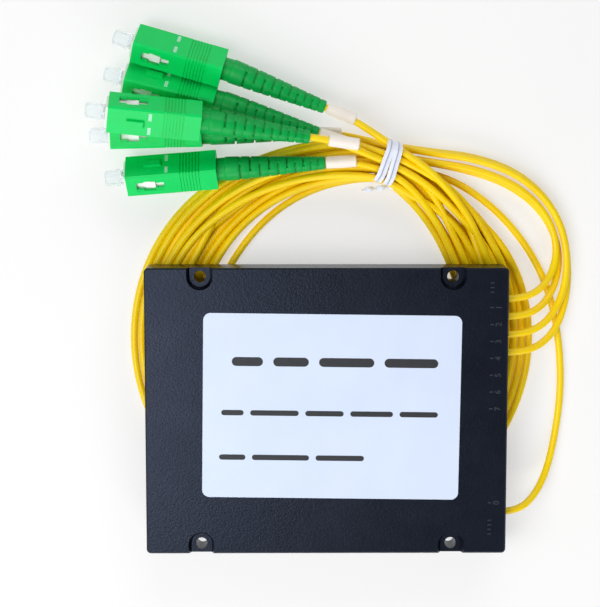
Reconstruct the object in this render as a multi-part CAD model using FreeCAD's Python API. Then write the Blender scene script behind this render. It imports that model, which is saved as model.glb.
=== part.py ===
"""A 1x4 fibre splitter cassette with five coiled pigtails and angled push-pull plugs.

Frame: origin at the centre of the cassette, +X towards its cable exits, +Y towards the
tied side of the coil, +Z up through the lid. The cassette lies on the coil, and the coil
lies on the bench. All sizes are in millimetres.
"""
import FreeCAD, Part
import math
import os
from FreeCAD import Placement, Rotation, Vector

# ---- cassette -----------------------------------------------------------------------
BOX_LENGTH = 100.0
BOX_WIDTH = 80.0
TRAY_HEIGHT = 8.0
LID_THICKNESS = 2.0
WALL = 1.6
TRAY_FLOOR = 1.6
BOX_CORNER = 1.2
LID_EDGE = 0.4
LIP_HEIGHT = 1.2
LIP_THICKNESS = 1.0
LIP_GAP = 0.15

# ---- mounting ears, sunk in U-shaped pockets ----------------------------------------
EAR_INSET_X = 15.25
EAR_INSET_Y = 2.5
EAR_HOLE = 3.2
NOTCH_WIDTH = 7.2
NOTCH_FLOOR = 5.6

# ---- lid pegs and their sockets -----------------------------------------------------
PEG_INSET_X = 5.0
PEG_INSET_Y = 2.6
PEG_DIAMETER = 2.4
PEG_LENGTH = 3.6
SOCKET_WALL = 1.0
PEG_GAP = 0.1

# ---- label --------------------------------------------------------------------------
LABEL_LENGTH = 71.0
LABEL_WIDTH = 51.5
LABEL_THICKNESS = 0.12
LABEL_CORNER = 2.0
LABEL_X = 1.4
LABEL_Y = 1.5
LABEL_TURN = -0.75

# ---- pigtail cable and its exits ----------------------------------------------------
CABLE = 2.0
CABLE_GAP = 0.1
OUTPUT_COUNT = 4
OUTPUT_PITCH = 5.0
OUTPUT_INSET = 9.2
INPUT_INSET = 10.5
ANCHOR_LENGTH = 5.0
ANCHOR_DIAMETER = 3.4
ANCHOR_GAP = 0.3
SADDLE_LENGTH = 3.0

# ---- splitter element ---------------------------------------------------------------
SPLITTER_LENGTH = 40.0
SPLITTER_WIDTH = 7.0
SPLITTER_HEIGHT = 4.0
SPLITTER_WALL = 0.4
SPLITTER_Y = -3.0
CHIP_LENGTH = 10.0
CHIP_WIDTH = 2.6
CHIP_HEIGHT = 1.6
ARRAY_LENGTH = 6.0
END_PLUG_LENGTH = 3.0
PLUG_FIT = 0.05
FIBRE = 0.9
FIBRE_PITCH = 1.3
FIBRE_GAP = 0.05
FIBRE_TURN_GAP = 0.8
CLIP_LENGTH = 4.0
CLIP_WALL = 1.2
CLIP_LIP = 1.0

# ---- coil and bench -----------------------------------------------------------------
COIL_HEIGHT = 4.4
COIL_SAG = 0.1
COIL_X = 1.9
COIL_Y = 19.5
COIL_INNER = 35.8
COIL_OUTER = 56.6
COIL_BEVEL = 1.2
TIE_ANGLE = 72.4
TIE_RADIUS = 51.2
BUNDLE_HALF_WIDTH = 4.9
BUNDLE_HEIGHT = 9.8
BUNDLE_LIFT = 0.7
BUNDLE_BEVEL = 1.8
TUBE_SIDES = 8
# degrees on from the tie, then how far the inner edge, the outer edge and the height
# have changed from the tied bundle to the loose coil, from 0 to 1
LEFT_SPREAD = [(0, 0, 0.0, 0.0), (4, 0, 0.0, 0.0), (10, 0.1, 1.1, 0.68), (20, 0.35, 1.3, 0.8),
               (33, 0.6, 1.3, 0.9), (46, 0.8, 1.0, 0.97), (58, 0.9, 0.75, 1.0),
               (78, 0.97, 0.35, 1.0), (108, 1.0, 0.0, 1.0)]
RIGHT_SPREAD = [(0, 0, 0, 0), (-4, 0, 0, 0), (-12, 0.22, 0.1, 0.35), (-22, 0.5, 0.15, 0.65),
                (-32, 0.8, 0.1, 0.98), (-42, 1, 0, 1)]
NARROWED = 5.5

# ---- twist tie ----------------------------------------------------------------------
TIE_BAND = 2.1
TIE_THICKNESS = 0.5
TIE_GAP = 0.1
TIE_GROOVE = 0.3
TIE_TAIL = 7.0
TIE_TAIL_TWISTS = 1.5

# ---- marker sleeves -----------------------------------------------------------------
MARKER_LENGTH = 8.4
MARKER_DIAMETER = 3.5
MARKER_BORE = 2.8

# ---- plug: the grip housing that slides --------------------------------------------
GRIP_LENGTH = 25.0
GRIP_WIDTH = 9.0
GRIP_HEIGHT = 7.4
GRIP_EDGE = 0.5
GRIP_TRAVEL = 1.5
KEY_WIDTH = 1.8
KEY_LENGTH = 4.8
KEY_HEIGHT = 0.8
KEY_START = 5.2
WINDOW_LENGTH = 7.6
WINDOW_HEIGHT = 3.4
WINDOW_START = 2.8
MARK_LENGTH = 0.9
MARK_WIDTH = 2.4
MARK_DEPTH = 0.3
MARK_START = 10.9
MARK_SPREAD = 2.3
RIB_COUNT = 7
RIB_PITCH = 0.85
RIB_GROOVE = 0.4
RIB_DEPTH = 0.3
RIB_START = 15.0
REAR_BORE = 6.6
REAR_BORE_DEPTH = 3.2

# ---- plug: the frame, ferrule, spring, rear body, crimp ring and boot -----------------
FRAME_WIDTH = 6.8
FRAME_HEIGHT = 5.2
FRAME_GAP = 0.2
FRAME_NOSE = 0.6
FRAME_LENGTH = 19.0
FRAME_FRONT_BORE = 4.9
FRAME_FRONT_DEPTH = 6.0
FRAME_WEB = 2.3
FRAME_WEB_BORE = 3.0
FRAME_REAR_CAVITY = 4.4
LATCH_LENGTH = 3.4
LATCH_HEIGHT = 0.7
LATCH_WIDTH = 2.0
LATCH_START = 4.6
FERRULE = 2.5
FERRULE_TIP = 1.4
FERRULE_ANGLE = 8.0
FLANGE_DIAMETER = 3.6
FLANGE_LENGTH = 1.6
FLANGE_GAP = 0.2
TAIL_TUBE = 1.6
TAIL_TUBE_LENGTH = 6.0
SPRING_RADIUS = 1.6
SPRING_WIRE = 0.45
SPRING_TURNS = 4
SPRING_GAP = 0.1
SPRING_SIDES = 6
REAR_PLUG_LENGTH = 2.0
REAR_PLUG_GAP = 0.05
REAR_FLANGE = 5.4
REAR_FLANGE_LENGTH = 1.4
REAR_NECK = 3.4
REAR_NECK_LENGTH = 7.6
REAR_BODY_BORE = 2.3
CRIMP_LENGTH = 7.0
CRIMP_WALL = 0.45
CRIMP_GAP = 0.05
BOOT_COLLAR = 6.4
BOOT_START_GAP = 0.3
BOOT_LENGTH = 28.0
BOOT_BASE = 6.8
BOOT_SHOULDER = 6.2
BOOT_SHOULDER_LENGTH = 7.5
BOOT_END = 3.5
BOOT_SLIT = 0.8
BOOT_SLIT_PITCH = 2.4
BOOT_SLIT_COUNT = 8
BOOT_WALL = 0.55
BOOT_SIDES = 12

# ---- dust cap -----------------------------------------------------------------------
CAP_DIAMETER = 4.7
CAP_SLEEVE = 4.2
CAP_BORE_GAP = 0.1
CAP_GRIP_LENGTH = 4.2
CAP_CLEARANCE = 1.3

# ---- where the plugs lie ------------------------------------------------------------
# front centre of the grip, heading of its rear in plan, rise to the rear, roll about the
# plug's axis, and the swing of the boot in plan and in rise
PLUGS = [
    dict(front=(-52.2, 101.0, -2.5), heading=-16.1, rise=0.0, roll=230.0, swing=-5.0, dip=1.0),
    dict(front=(-54.9, 91.3, -3.4), heading=-14.0, rise=0.0, roll=50.0, swing=-3.5, dip=3.2),
    dict(front=(-58.8, 82.5, 8.1), heading=-6.0, rise=-5.0, roll=-35.0, swing=-2.5, dip=1.5),
    dict(front=(-59.2, 75.85, -4.8), heading=1.4, rise=0.0, roll=90.0, swing=-1.8, dip=-5.0),
    dict(front=(-54.9, 64.5, -3.3), heading=4.6, rise=1.9, roll=50.0, swing=-1.0, dip=1.0),
]

# ---- cable routes, chosen point by point ---------------------------------------------
EXIT_RUNS = [3.0, 3.2, 3.2, 3.2, 3.2]
LEAD_ROUTES = [
    [(58.6, -26.4, -3.4), (62.8, -19.4, -6.8), (65.3, -8.6, -8.3),
     (66.6, 3.2, -8.3), (66.2, 14.8, -8.3), (64.4, 26.0, -8.3), (61.4, 35.4, -8.3),
     (57.0, 43.6, -8.3), (51.0, 51.4, -8.3), (43.7, 58.0, -8.2), (35.4, 63.2, -8.1),
     (26.6, 65.8, -7.9), (19.6, 66.4, -7.7)],
    [(59.8, 17.2, -2.8), (65.0, 22.2, -5.6), (67.7, 30.5, -7.5),
     (68.1, 40.0, -8.3), (66.4, 49.8, -8.3), (61.0, 59.0, -8.3), (52.4, 65.9, -8.3),
     (40.8, 69.8, -8.2), (29.8, 71.0, -7.9), (21.1, 70.5, -7.7)],
    [(59.6, 22.4, -2.4), (64.4, 27.2, -4.6), (67.1, 34.6, -5.7),
     (67.4, 43.4, -6.1), (65.0, 52.4, -6.1), (59.4, 60.2, -6.1), (51.0, 66.0, -6.0),
     (40.4, 69.4, -5.9), (29.8, 70.7, -5.7), (21.1, 70.4, -5.5)],
    [(59.4, 27.6, -2.8), (63.4, 32.2, -5.8), (65.5, 38.6, -8.0),
     (64.9, 45.9, -8.3), (61.4, 53.1, -8.3), (55.8, 58.8, -8.3), (47.8, 63.4, -8.2),
     (38.0, 66.3, -8.1), (28.6, 68.1, -7.9), (20.3, 68.4, -7.7)],
    [(59.0, 32.6, -2.2), (62.9, 37.0, -4.4), (64.6, 43.6, -5.8),
     (63.0, 50.7, -6.1), (58.6, 57.2, -6.1), (51.2, 62.8, -6.1), (40.4, 66.7, -6.0),
     (29.7, 68.2, -5.8), (20.3, 68.3, -5.5)],
]
TAIL_ENDS = [(15.3, 72.3, -2.0), (14.9, 70.4, -0.5), (14.3, 68.3, 0.0), (15.3, 72.2, -4.3),
             (13.8, 66.4, -0.7)]
MARKER_STARTS = [0.6, 0.3, 5.2, 0.4, 0.2]
TAIL_STRAIGHT = 7.0
TAIL_INSIDE_BOOT = 4.0

# ---- worked out ---------------------------------------------------------------------
BOX_HEIGHT = TRAY_HEIGHT + LID_THICKNESS
BOX_BOTTOM = -BOX_HEIGHT / 2
TRAY_TOP = BOX_BOTTOM + TRAY_HEIGHT
FLOOR_TOP = BOX_BOTTOM + TRAY_FLOOR
BENCH = BOX_BOTTOM - COIL_HEIGHT
WALL_INSIDE = BOX_LENGTH / 2 - WALL
ANCHOR_END = WALL_INSIDE - ANCHOR_GAP
EAR_SPACING_X = BOX_LENGTH - 2 * EAR_INSET_X
EAR_SPACING_Y = BOX_WIDTH - 2 * EAR_INSET_Y
INPUT_Y = INPUT_INSET - BOX_WIDTH / 2
FIRST_OUTPUT_Y = BOX_WIDTH / 2 - OUTPUT_INSET - OUTPUT_PITCH * (OUTPUT_COUNT - 1)
FIBRE_TURN = (SPLITTER_Y - INPUT_Y) / 2
SPLITTER_X = SPLITTER_LENGTH / 2 + FIBRE + FIBRE_TURN + FIBRE / 2 + FIBRE_TURN_GAP - WALL_INSIDE
FRAME_REAR = FRAME_NOSE - FRAME_LENGTH
WEB_REAR = FRAME_NOSE - FRAME_FRONT_DEPTH - FRAME_WEB
FLANGE_FRONT = WEB_REAR - FLANGE_GAP
SPRING_FRONT = FLANGE_FRONT - FLANGE_LENGTH - SPRING_GAP
SPRING_REAR = FRAME_REAR + REAR_PLUG_LENGTH + SPRING_GAP
NECK_FRONT = FRAME_REAR - REAR_FLANGE_LENGTH
BOOT_FRONT = -GRIP_LENGTH - GRIP_TRAVEL - BOOT_START_GAP
X_AXIS = Vector(1, 0, 0)
Y_AXIS = Vector(0, 1, 0)
Z_AXIS = Vector(0, 0, 1)


def block(x_range, y_range, z_range):
    """A box between pairs of coordinates."""
    size = [high - low for low, high in (x_range, y_range, z_range)]
    return Part.makeBox(*size, Vector(x_range[0], y_range[0], z_range[0]))


def round_bar(diameter, x_front, x_rear):
    """A cylinder along X from x_rear up to x_front."""
    return Part.makeCylinder(diameter / 2, x_front - x_rear, Vector(x_rear, 0, 0), X_AXIS)


def ring_of_corners(diameter, sides, x):
    """A closed polygon across X whose flats lie diameter apart."""
    reach = diameter / 2 / math.cos(math.pi / sides)
    turns = [2 * math.pi * (i + 0.5) / sides for i in range(sides + 1)]
    return Part.makePolygon([Vector(x, reach * math.cos(t), reach * math.sin(t)) for t in turns])


def flat_sided_bar(diameter, sides, x_front, x_rear):
    """A prism along X from x_rear up to x_front, diameter across its flats."""
    face = Part.Face(ring_of_corners(diameter, sides, x_rear))
    return face.extrude(Vector(x_front - x_rear, 0, 0))


def upright_bar(diameter, centre, bottom, top):
    """An upright prism, diameter across its flats."""
    bar = flat_sided_bar(diameter, TUBE_SIDES, top, bottom)
    bar.rotate(Vector(), Y_AXIS, -90)
    bar.translate(Vector(*centre, 0))
    return bar


def rounded_plate(length, width, height, corner, bottom):
    """A plate with rounded upright corners, centred in plan."""
    plate = block((-length / 2, length / 2), (-width / 2, width / 2), (bottom, bottom + height))
    uprights = [e for e in plate.Edges if abs(e.tangentAt(0).z) > 0.99]
    return plate.makeFillet(corner, uprights)


def fuse(solids):
    """One solid out of several that touch."""
    return solids[0].fuse(solids[1:]).removeSplitter()


def save(name, shapes):
    """Write one node, a solid or a group of like solids."""
    shape = shapes if isinstance(shapes, Part.Shape) else Part.makeCompound(shapes)
    shape.exportStep("parts/" + name + ".step")


# ---- cassette -----------------------------------------------------------------------
def ear_centres():
    """Plan positions of the four screw holes."""
    half_x, half_y = EAR_SPACING_X / 2, EAR_SPACING_Y / 2
    return [(sx * half_x, sy * half_y) for sx in (-1, 1) for sy in (-1, 1)]


def ear_post(centre, radius, bottom, top):
    """A U-shaped prism round one screw hole, out to the nearer long side."""
    x, y = centre
    side = math.copysign(1, y)
    reach = sorted((y, side * BOX_WIDTH))
    drum = Part.makeCylinder(radius, top - bottom, Vector(x, y, bottom))
    mouth = block((x - radius, x + radius), reach, (bottom, top))
    return drum.fuse(mouth)


def ear_notch(centre):
    """The U-shaped cut in the lid over one screw post, its walls sloping in."""
    x, y = centre
    top, low = NOTCH_WIDTH / 2, NOTCH_FLOOR / 2
    bowl = Part.makeCone(low, top, LID_THICKNESS, Vector(x, y, TRAY_TOP))
    roof = TRAY_TOP + LID_THICKNESS
    corners = [Vector(x - low, y, TRAY_TOP), Vector(x + low, y, TRAY_TOP),
               Vector(x + top, y, roof), Vector(x - top, y, roof), Vector(x - low, y, TRAY_TOP)]
    channel = Part.Face(Part.makePolygon(corners))
    channel = channel.extrude(Vector(0, math.copysign(BOX_WIDTH, y), 0))
    return bowl.fuse(channel)


def peg_centres():
    """Plan positions of the lid's four pegs."""
    x = BOX_LENGTH / 2 - WALL - PEG_INSET_X
    y = BOX_WIDTH / 2 - WALL - PEG_INSET_Y
    return [(sx * x, sy * y) for sx in (-1, 1) for sy in (-1, 1)]


def exit_heights():
    """Y of the input exit, then of the output exits."""
    return [INPUT_Y] + [FIRST_OUTPUT_Y + OUTPUT_PITCH * i for i in range(OUTPUT_COUNT)]


def cable_saddle(y):
    """A block on the tray floor that an anchor ring lies in."""
    x_rear = ANCHOR_END - (ANCHOR_LENGTH + SADDLE_LENGTH) / 2
    half = ANCHOR_DIAMETER / 2 + 0.5
    body = block((x_rear, x_rear + SADDLE_LENGTH), (y - half, y + half), (FLOOR_TOP, 0))
    seat = flat_sided_bar(ANCHOR_DIAMETER + 2 * PLUG_FIT, TUBE_SIDES,
                          x_rear + SADDLE_LENGTH, x_rear)
    seat.translate(Vector(0, y, 0))
    return body.cut(seat)


def splitter_clip(x):
    """A U-shaped clip on the tray floor round the splitter tube."""
    half = SPLITTER_WIDTH / 2 + PLUG_FIT
    reach = half + CLIP_WALL
    span = (x - CLIP_LENGTH / 2, x + CLIP_LENGTH / 2)
    body = block(span, (SPLITTER_Y - reach, SPLITTER_Y + reach), (FLOOR_TOP, CLIP_LIP))
    seat = block(span, (SPLITTER_Y - half, SPLITTER_Y + half),
                 (-SPLITTER_HEIGHT / 2, CLIP_LIP))
    return body.cut(seat)


def base_tray():
    """The open tray with screw posts, exits, saddles, clips and peg sockets."""
    outer = rounded_plate(BOX_LENGTH, BOX_WIDTH, TRAY_HEIGHT, BOX_CORNER, BOX_BOTTOM)
    inner = block((-WALL_INSIDE, WALL_INSIDE), (WALL - BOX_WIDTH / 2, BOX_WIDTH / 2 - WALL),
                  (FLOOR_TOP, TRAY_TOP))
    tray = outer.cut(inner)
    for centre in ear_centres():
        post = ear_post(centre, NOTCH_WIDTH / 2, BOX_BOTTOM, TRAY_TOP)
        tray = tray.fuse(post.common(outer))
    half = PEG_DIAMETER / 2 + PEG_GAP + SOCKET_WALL
    socket_top = TRAY_TOP - LIP_HEIGHT - LIP_GAP
    sockets = [block((x - half, x + half), (y - half, y + half), (FLOOR_TOP, socket_top))
               for x, y in peg_centres()]
    clips = [splitter_clip(SPLITTER_X + sx * SPLITTER_LENGTH * 0.3) for sx in (-1, 1)]
    tray = fuse([tray] + sockets + clips + [cable_saddle(y) for y in exit_heights()])
    cuts = [Part.makeCylinder(EAR_HOLE / 2, TRAY_HEIGHT, Vector(x, y, BOX_BOTTOM))
            for x, y in ear_centres()]
    cuts += [upright_bar(PEG_DIAMETER + 2 * PEG_GAP, centre, FLOOR_TOP, TRAY_TOP)
             for centre in peg_centres()]
    for y in exit_heights():
        hole = flat_sided_bar(CABLE + 2 * CABLE_GAP, TUBE_SIDES, BOX_LENGTH, WALL_INSIDE - WALL)
        hole.translate(Vector(0, y, 0))
        cuts.append(hole)
    return tray.cut(cuts)


def lid_lip():
    """The frame under the lid that fits inside the tray's walls."""
    length = 2 * (WALL_INSIDE - LIP_GAP)
    width = BOX_WIDTH - 2 * (WALL + LIP_GAP)
    bottom = TRAY_TOP - LIP_HEIGHT
    outer = block((-length / 2, length / 2), (-width / 2, width / 2), (bottom, TRAY_TOP))
    inner = outer.copy().cut(block(
        (LIP_THICKNESS - length / 2, length / 2 - LIP_THICKNESS),
        (LIP_THICKNESS - width / 2, width / 2 - LIP_THICKNESS), (bottom, TRAY_TOP)))
    posts = [ear_post(c, NOTCH_WIDTH / 2 + LIP_GAP, bottom, TRAY_TOP) for c in ear_centres()]
    return inner.cut(posts)


def lid():
    """The flat cover with its four ear notches, lip and pegs."""
    plate = rounded_plate(BOX_LENGTH, BOX_WIDTH, LID_THICKNESS, BOX_CORNER, TRAY_TOP)
    top = TRAY_TOP + LID_THICKNESS
    rim = [e for e in plate.Edges if e.BoundBox.ZMin > top - 0.01]
    plate = plate.makeChamfer(LID_EDGE, rim)
    plate = plate.cut([ear_notch(centre) for centre in ear_centres()])
    pegs = [upright_bar(PEG_DIAMETER, centre, TRAY_TOP - PEG_LENGTH, TRAY_TOP)
            for centre in peg_centres()]
    return fuse([plate, lid_lip()] + pegs)


def label():
    """The stuck-on label, a little askew."""
    sheet = rounded_plate(LABEL_LENGTH, LABEL_WIDTH, LABEL_THICKNESS, LABEL_CORNER,
                          BOX_BOTTOM + BOX_HEIGHT)
    sheet.rotate(Vector(), Z_AXIS, LABEL_TURN)
    sheet.translate(Vector(LABEL_X, LABEL_Y, 0))
    return sheet


# ---- splitter element ---------------------------------------------------------------
def splitter_ends():
    """X of the splitter tube's two ends."""
    return SPLITTER_X - SPLITTER_LENGTH / 2, SPLITTER_X + SPLITTER_LENGTH / 2


def splitter_bar(x_range, width, height, centre_z=0.0):
    """A bar on the splitter's own axis."""
    return block(x_range, (SPLITTER_Y - width / 2, SPLITTER_Y + width / 2),
                 (centre_z - height / 2, centre_z + height / 2))


def splitter_tube():
    """The rectangular steel tube."""
    ends = splitter_ends()
    bore = splitter_bar(ends, SPLITTER_WIDTH - 2 * SPLITTER_WALL,
                        SPLITTER_HEIGHT - 2 * SPLITTER_WALL)
    return splitter_bar(ends, SPLITTER_WIDTH, SPLITTER_HEIGHT).cut(bore)


def chip_level():
    """Height of the chip's centre when it lies on the tube's inner floor."""
    return SPLITTER_WALL - SPLITTER_HEIGHT / 2 + CHIP_HEIGHT / 2


def splitter_chip():
    """The waveguide chip."""
    span = (SPLITTER_X - CHIP_LENGTH / 2, SPLITTER_X + CHIP_LENGTH / 2)
    return splitter_bar(span, CHIP_WIDTH, CHIP_HEIGHT, chip_level())


def fibre_arrays():
    """The two glass blocks glued to the chip's ends."""
    left = SPLITTER_X - CHIP_LENGTH / 2
    right = SPLITTER_X + CHIP_LENGTH / 2
    spans = [(left - ARRAY_LENGTH, left), (right, right + ARRAY_LENGTH)]
    return [splitter_bar(span, CHIP_WIDTH, CHIP_HEIGHT, chip_level()) for span in spans]


def output_fibre_levels():
    """Y of the four output fibres where they leave the splitter."""
    middle = (OUTPUT_COUNT - 1) / 2
    return [SPLITTER_Y + FIBRE_PITCH * (i - middle) for i in range(OUTPUT_COUNT)]


def tube_end_plugs():
    """The two plugs that close the steel tube, bored for the fibres."""
    left, right = splitter_ends()
    width = SPLITTER_WIDTH - 2 * (SPLITTER_WALL + PLUG_FIT)
    height = SPLITTER_HEIGHT - 2 * (SPLITTER_WALL + PLUG_FIT)
    plugs = []
    for span, levels in (((left, left + END_PLUG_LENGTH), [SPLITTER_Y]),
                         ((right - END_PLUG_LENGTH, right), output_fibre_levels())):
        plug = splitter_bar(span, width, height)
        for y in levels:
            bore = flat_sided_bar(FIBRE + 2 * FIBRE_GAP, TUBE_SIDES, span[1], span[0])
            bore.translate(Vector(0, y, 0))
            plug = plug.cut(bore)
        plugs.append(plug)
    return plugs


def swept_bar(edges, diameter):
    """A flat-sided bar along tangent edges that start along X, diameter across its flats."""
    path = Part.Wire(edges)
    start = edges[0].valueAt(edges[0].FirstParameter)
    ahead = edges[0].tangentAt(edges[0].FirstParameter)
    ring = ring_of_corners(diameter, TUBE_SIDES, 0)
    ring.Placement = Placement(start, Rotation(X_AXIS, ahead))
    return path.makePipeShell([ring], True, False)


def s_bend(start, end):
    """Two equal tangent arcs between parallel lines along X."""
    rise = end.y - start.y
    run = end.x - start.x
    radius = (run ** 2 + rise ** 2) / (4 * abs(rise))
    turn = math.asin(run / (2 * radius))
    bow = radius * (1 - math.cos(turn / 2)) * math.copysign(1, rise)
    reach = radius * math.sin(turn / 2)
    middle = (start + end) / 2
    first = Part.Arc(start, start + Vector(reach, bow, 0), middle)
    second = Part.Arc(middle, end - Vector(reach, bow, 0), end)
    return [first.toShape(), second.toShape()]


def output_fibres():
    """The four buffered fibres from the splitter to the output cables."""
    start_x = splitter_ends()[1] - END_PLUG_LENGTH + FIBRE
    bend_x = splitter_ends()[1] + FIBRE
    end_x = ANCHOR_END - ANCHOR_LENGTH - FIBRE
    stop_x = ANCHOR_END - ANCHOR_LENGTH / 2
    fibres = []
    for level, y in zip(output_fibre_levels(), exit_heights()[1:]):
        bend = s_bend(Vector(bend_x, level, 0), Vector(end_x, y, 0))
        first = Part.makeLine(Vector(start_x, level, 0), Vector(bend_x, level, 0))
        last = Part.makeLine(Vector(end_x, y, 0), Vector(stop_x, y, 0))
        fibres.append(swept_bar([first] + bend + [last], FIBRE))
    return fibres


def input_fibre():
    """The buffered fibre that turns back from the splitter to the input cable."""
    start = Vector(splitter_ends()[0] + END_PLUG_LENGTH - FIBRE, SPLITTER_Y, 0)
    bend = Vector(splitter_ends()[0] - FIBRE, SPLITTER_Y, 0)
    turn = Part.Arc(bend, bend + Vector(-FIBRE_TURN, -FIBRE_TURN, 0),
                    bend + Vector(0, -2 * FIBRE_TURN, 0))
    stop = Vector(ANCHOR_END - ANCHOR_LENGTH / 2, INPUT_Y, 0)
    edges = [Part.makeLine(start, bend), turn.toShape(),
             Part.makeLine(bend + Vector(0, -2 * FIBRE_TURN, 0), stop)]
    return swept_bar(edges, FIBRE)


def cable_anchors():
    """The crimped rings that hold the pigtails just inside the wall."""
    rings = []
    for y in exit_heights():
        ends = (ANCHOR_END, ANCHOR_END - ANCHOR_LENGTH)
        ring = flat_sided_bar(ANCHOR_DIAMETER, TUBE_SIDES, *ends)
        ring = ring.cut(flat_sided_bar(CABLE + 2 * PLUG_FIT, TUBE_SIDES, *ends))
        ring.translate(Vector(0, y, 0))
        rings.append(ring)
    return rings


# ---- cables -------------------------------------------------------------------------
def rounded_route(points):
    """Straight runs joined by tangent arcs."""
    points = [Vector(*p) for p in points]
    edges = []
    here = points[0]
    for before, corner, after in zip(points, points[1:], points[2:]):
        run_in, run_out = before - corner, after - corner
        half_turn = (math.pi - run_in.getAngle(run_out)) / 2
        setback = 0.45 * min(run_in.Length, run_out.Length)
        radius = setback / math.tan(half_turn)
        run_in.normalize()
        run_out.normalize()
        start, end = corner + run_in * setback, corner + run_out * setback
        inward = run_in + run_out
        inward.normalize()
        centre_distance = radius / math.cos(half_turn)
        middle = corner + inward * (centre_distance - radius)
        edges.append(Part.makeLine(here, start))
        edges.append(Part.Arc(start, middle, end).toShape())
        here = end
    edges.append(Part.makeLine(here, points[-1]))
    return edges


def cable_tube(points):
    """A cable's plain tube and the line that it follows."""
    edges = rounded_route(points)
    return swept_bar(edges, CABLE), Part.Wire(edges)


def leads():
    """The five pigtails from their anchors to the tie, input first."""
    start_x = ANCHOR_END - ANCHOR_LENGTH / 2 + FIBRE
    names = ["lead_input"] + ["lead_output_%d" % (i + 1) for i in range(OUTPUT_COUNT)]
    return {name: cable_tube([(start_x, y, 0.0), (BOX_LENGTH / 2 + run, y, 0.0)] + route)[0]
            for name, y, run, route in zip(names, exit_heights(), EXIT_RUNS, LEAD_ROUTES)}


def bevelled_outline(half, height, bevel):
    """The corners of a rectangle across X with its corners cut off."""
    top = height / 2
    quarter = [(half, top - bevel), (half - bevel, top)]
    right = [(y, -z) for y, z in reversed(quarter)] + quarter
    corners = right + [(-y, z) for y, z in reversed(right)]
    return [Vector(0, y, z) for y, z in corners + corners[:1]]


def coil_section(station):
    """The coil's outline across its strands at one station round it."""
    turn, inward, drawn, lowered = station
    height = BUNDLE_HEIGHT + (COIL_HEIGHT - COIL_SAG - BUNDLE_HEIGHT) * lowered
    inner = TIE_RADIUS - BUNDLE_HALF_WIDTH
    inner += (COIL_INNER - inner) * inward
    outer = TIE_RADIUS + BUNDLE_HALF_WIDTH
    outer += (COIL_OUTER - outer) * inward - NARROWED * drawn
    bevel = BUNDLE_BEVEL + (COIL_BEVEL - BUNDLE_BEVEL) * lowered
    wire = Part.makePolygon(bevelled_outline((outer - inner) / 2, height, bevel))
    lift = BENCH + BUNDLE_LIFT * (1 - lowered) + height / 2
    wire.translate(Vector(0, (inner + outer) / 2, lift))
    wire.rotate(Vector(), Z_AXIS, TIE_ANGLE + turn - 90)
    wire.translate(Vector(COIL_X, COIL_Y, 0))
    return wire


def pigtail_coil():
    """The outer shape of the five pigtails' turns, drawn in at the tie."""
    loose_turn = 360 - LEFT_SPREAD[-1][0] + RIGHT_SPREAD[-1][0]
    loose = Part.Face(coil_section(LEFT_SPREAD[-1]))
    loose = loose.revolve(Vector(COIL_X, COIL_Y, 0), Z_AXIS, loose_turn)
    drawn_in = [Part.makeLoft([coil_section(station) for station in spread], True, True)
                for spread in (LEFT_SPREAD, RIGHT_SPREAD)]
    return loose.fuse(drawn_in)


def tie_place():
    """The tie's own frame: X along the strands, Y outwards across them, Z up."""
    centre = Vector(TIE_RADIUS, 0, BENCH + BUNDLE_LIFT + BUNDLE_HEIGHT / 2)
    out = Rotation(Z_AXIS, TIE_ANGLE)
    spot = out.multVec(centre) + Vector(COIL_X, COIL_Y, 0)
    return Placement(spot, Rotation(Z_AXIS, TIE_ANGLE - 90))


def bundle_bar(margin, length):
    """A bar along X with the tied bundle's outline, margin larger all round."""
    outline = bevelled_outline(BUNDLE_HALF_WIDTH + margin, BUNDLE_HEIGHT + 2 * margin,
                               BUNDLE_BEVEL + margin / 2)
    bar = Part.Face(Part.makePolygon(outline)).extrude(Vector(length, 0, 0))
    bar.translate(Vector(-length / 2, 0, 0))
    return bar


def twisted_tail():
    """The tie's twisted end, a thin bar turning as it leaves the bundle."""
    steps = 7
    wires = []
    for i in range(steps + 1):
        share = i / steps
        angle = math.pi * TIE_TAIL_TWISTS * share
        across, up = TIE_BAND / 2, TIE_THICKNESS
        corners = []
        for sy, sz in ((-1, -1), (1, -1), (1, 1), (-1, 1)):
            y = sy * across * math.cos(angle) - sz * up * math.sin(angle)
            z = sy * across * math.sin(angle) + sz * up * math.cos(angle)
            corners.append(Vector(-TIE_TAIL * share, y, z))
        wires.append(Part.makePolygon(corners + corners[:1]))
    tail = Part.makeLoft(wires, True, True)
    tail.rotate(Vector(), Z_AXIS, 15)
    start_y = -BUNDLE_HALF_WIDTH - TIE_GAP - TIE_THICKNESS / 2
    tail.translate(Vector(TIE_BAND / 4, start_y, TIE_BAND / 2))
    return tail


def twist_tie():
    """Two wraps of flat tie round the bundle, with a groove between, and the twisted end."""
    length = 2 * TIE_BAND + TIE_GROOVE
    outside = TIE_GAP + TIE_THICKNESS
    middle = TIE_GAP + TIE_THICKNESS / 2
    valley = bundle_bar(outside, TIE_GROOVE).cut(bundle_bar(middle, TIE_GROOVE))
    wraps = bundle_bar(outside, length).cut(valley)
    wraps = wraps.fuse(twisted_tail()).cut(bundle_bar(TIE_GAP, 2 * length))
    wraps.Placement = tie_place()
    return wraps


# ---- plugs --------------------------------------------------------------------------
def plug_place(plug):
    """The plug's own frame: X forward out of its front, Z up through its key."""
    turn = Rotation(plug["heading"] + 180, plug["rise"], plug["roll"])
    return Placement(Vector(*plug["front"]), turn)


def boot_place(plug):
    """The boot's own frame, with X towards the plug, at the boot's wide end."""
    turn = Rotation(plug["heading"] + plug["swing"] + 180, plug["rise"] + plug["dip"], plug["roll"])
    return Placement(plug_place(plug).multVec(Vector(BOOT_FRONT, 0, 0)), turn)


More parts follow.
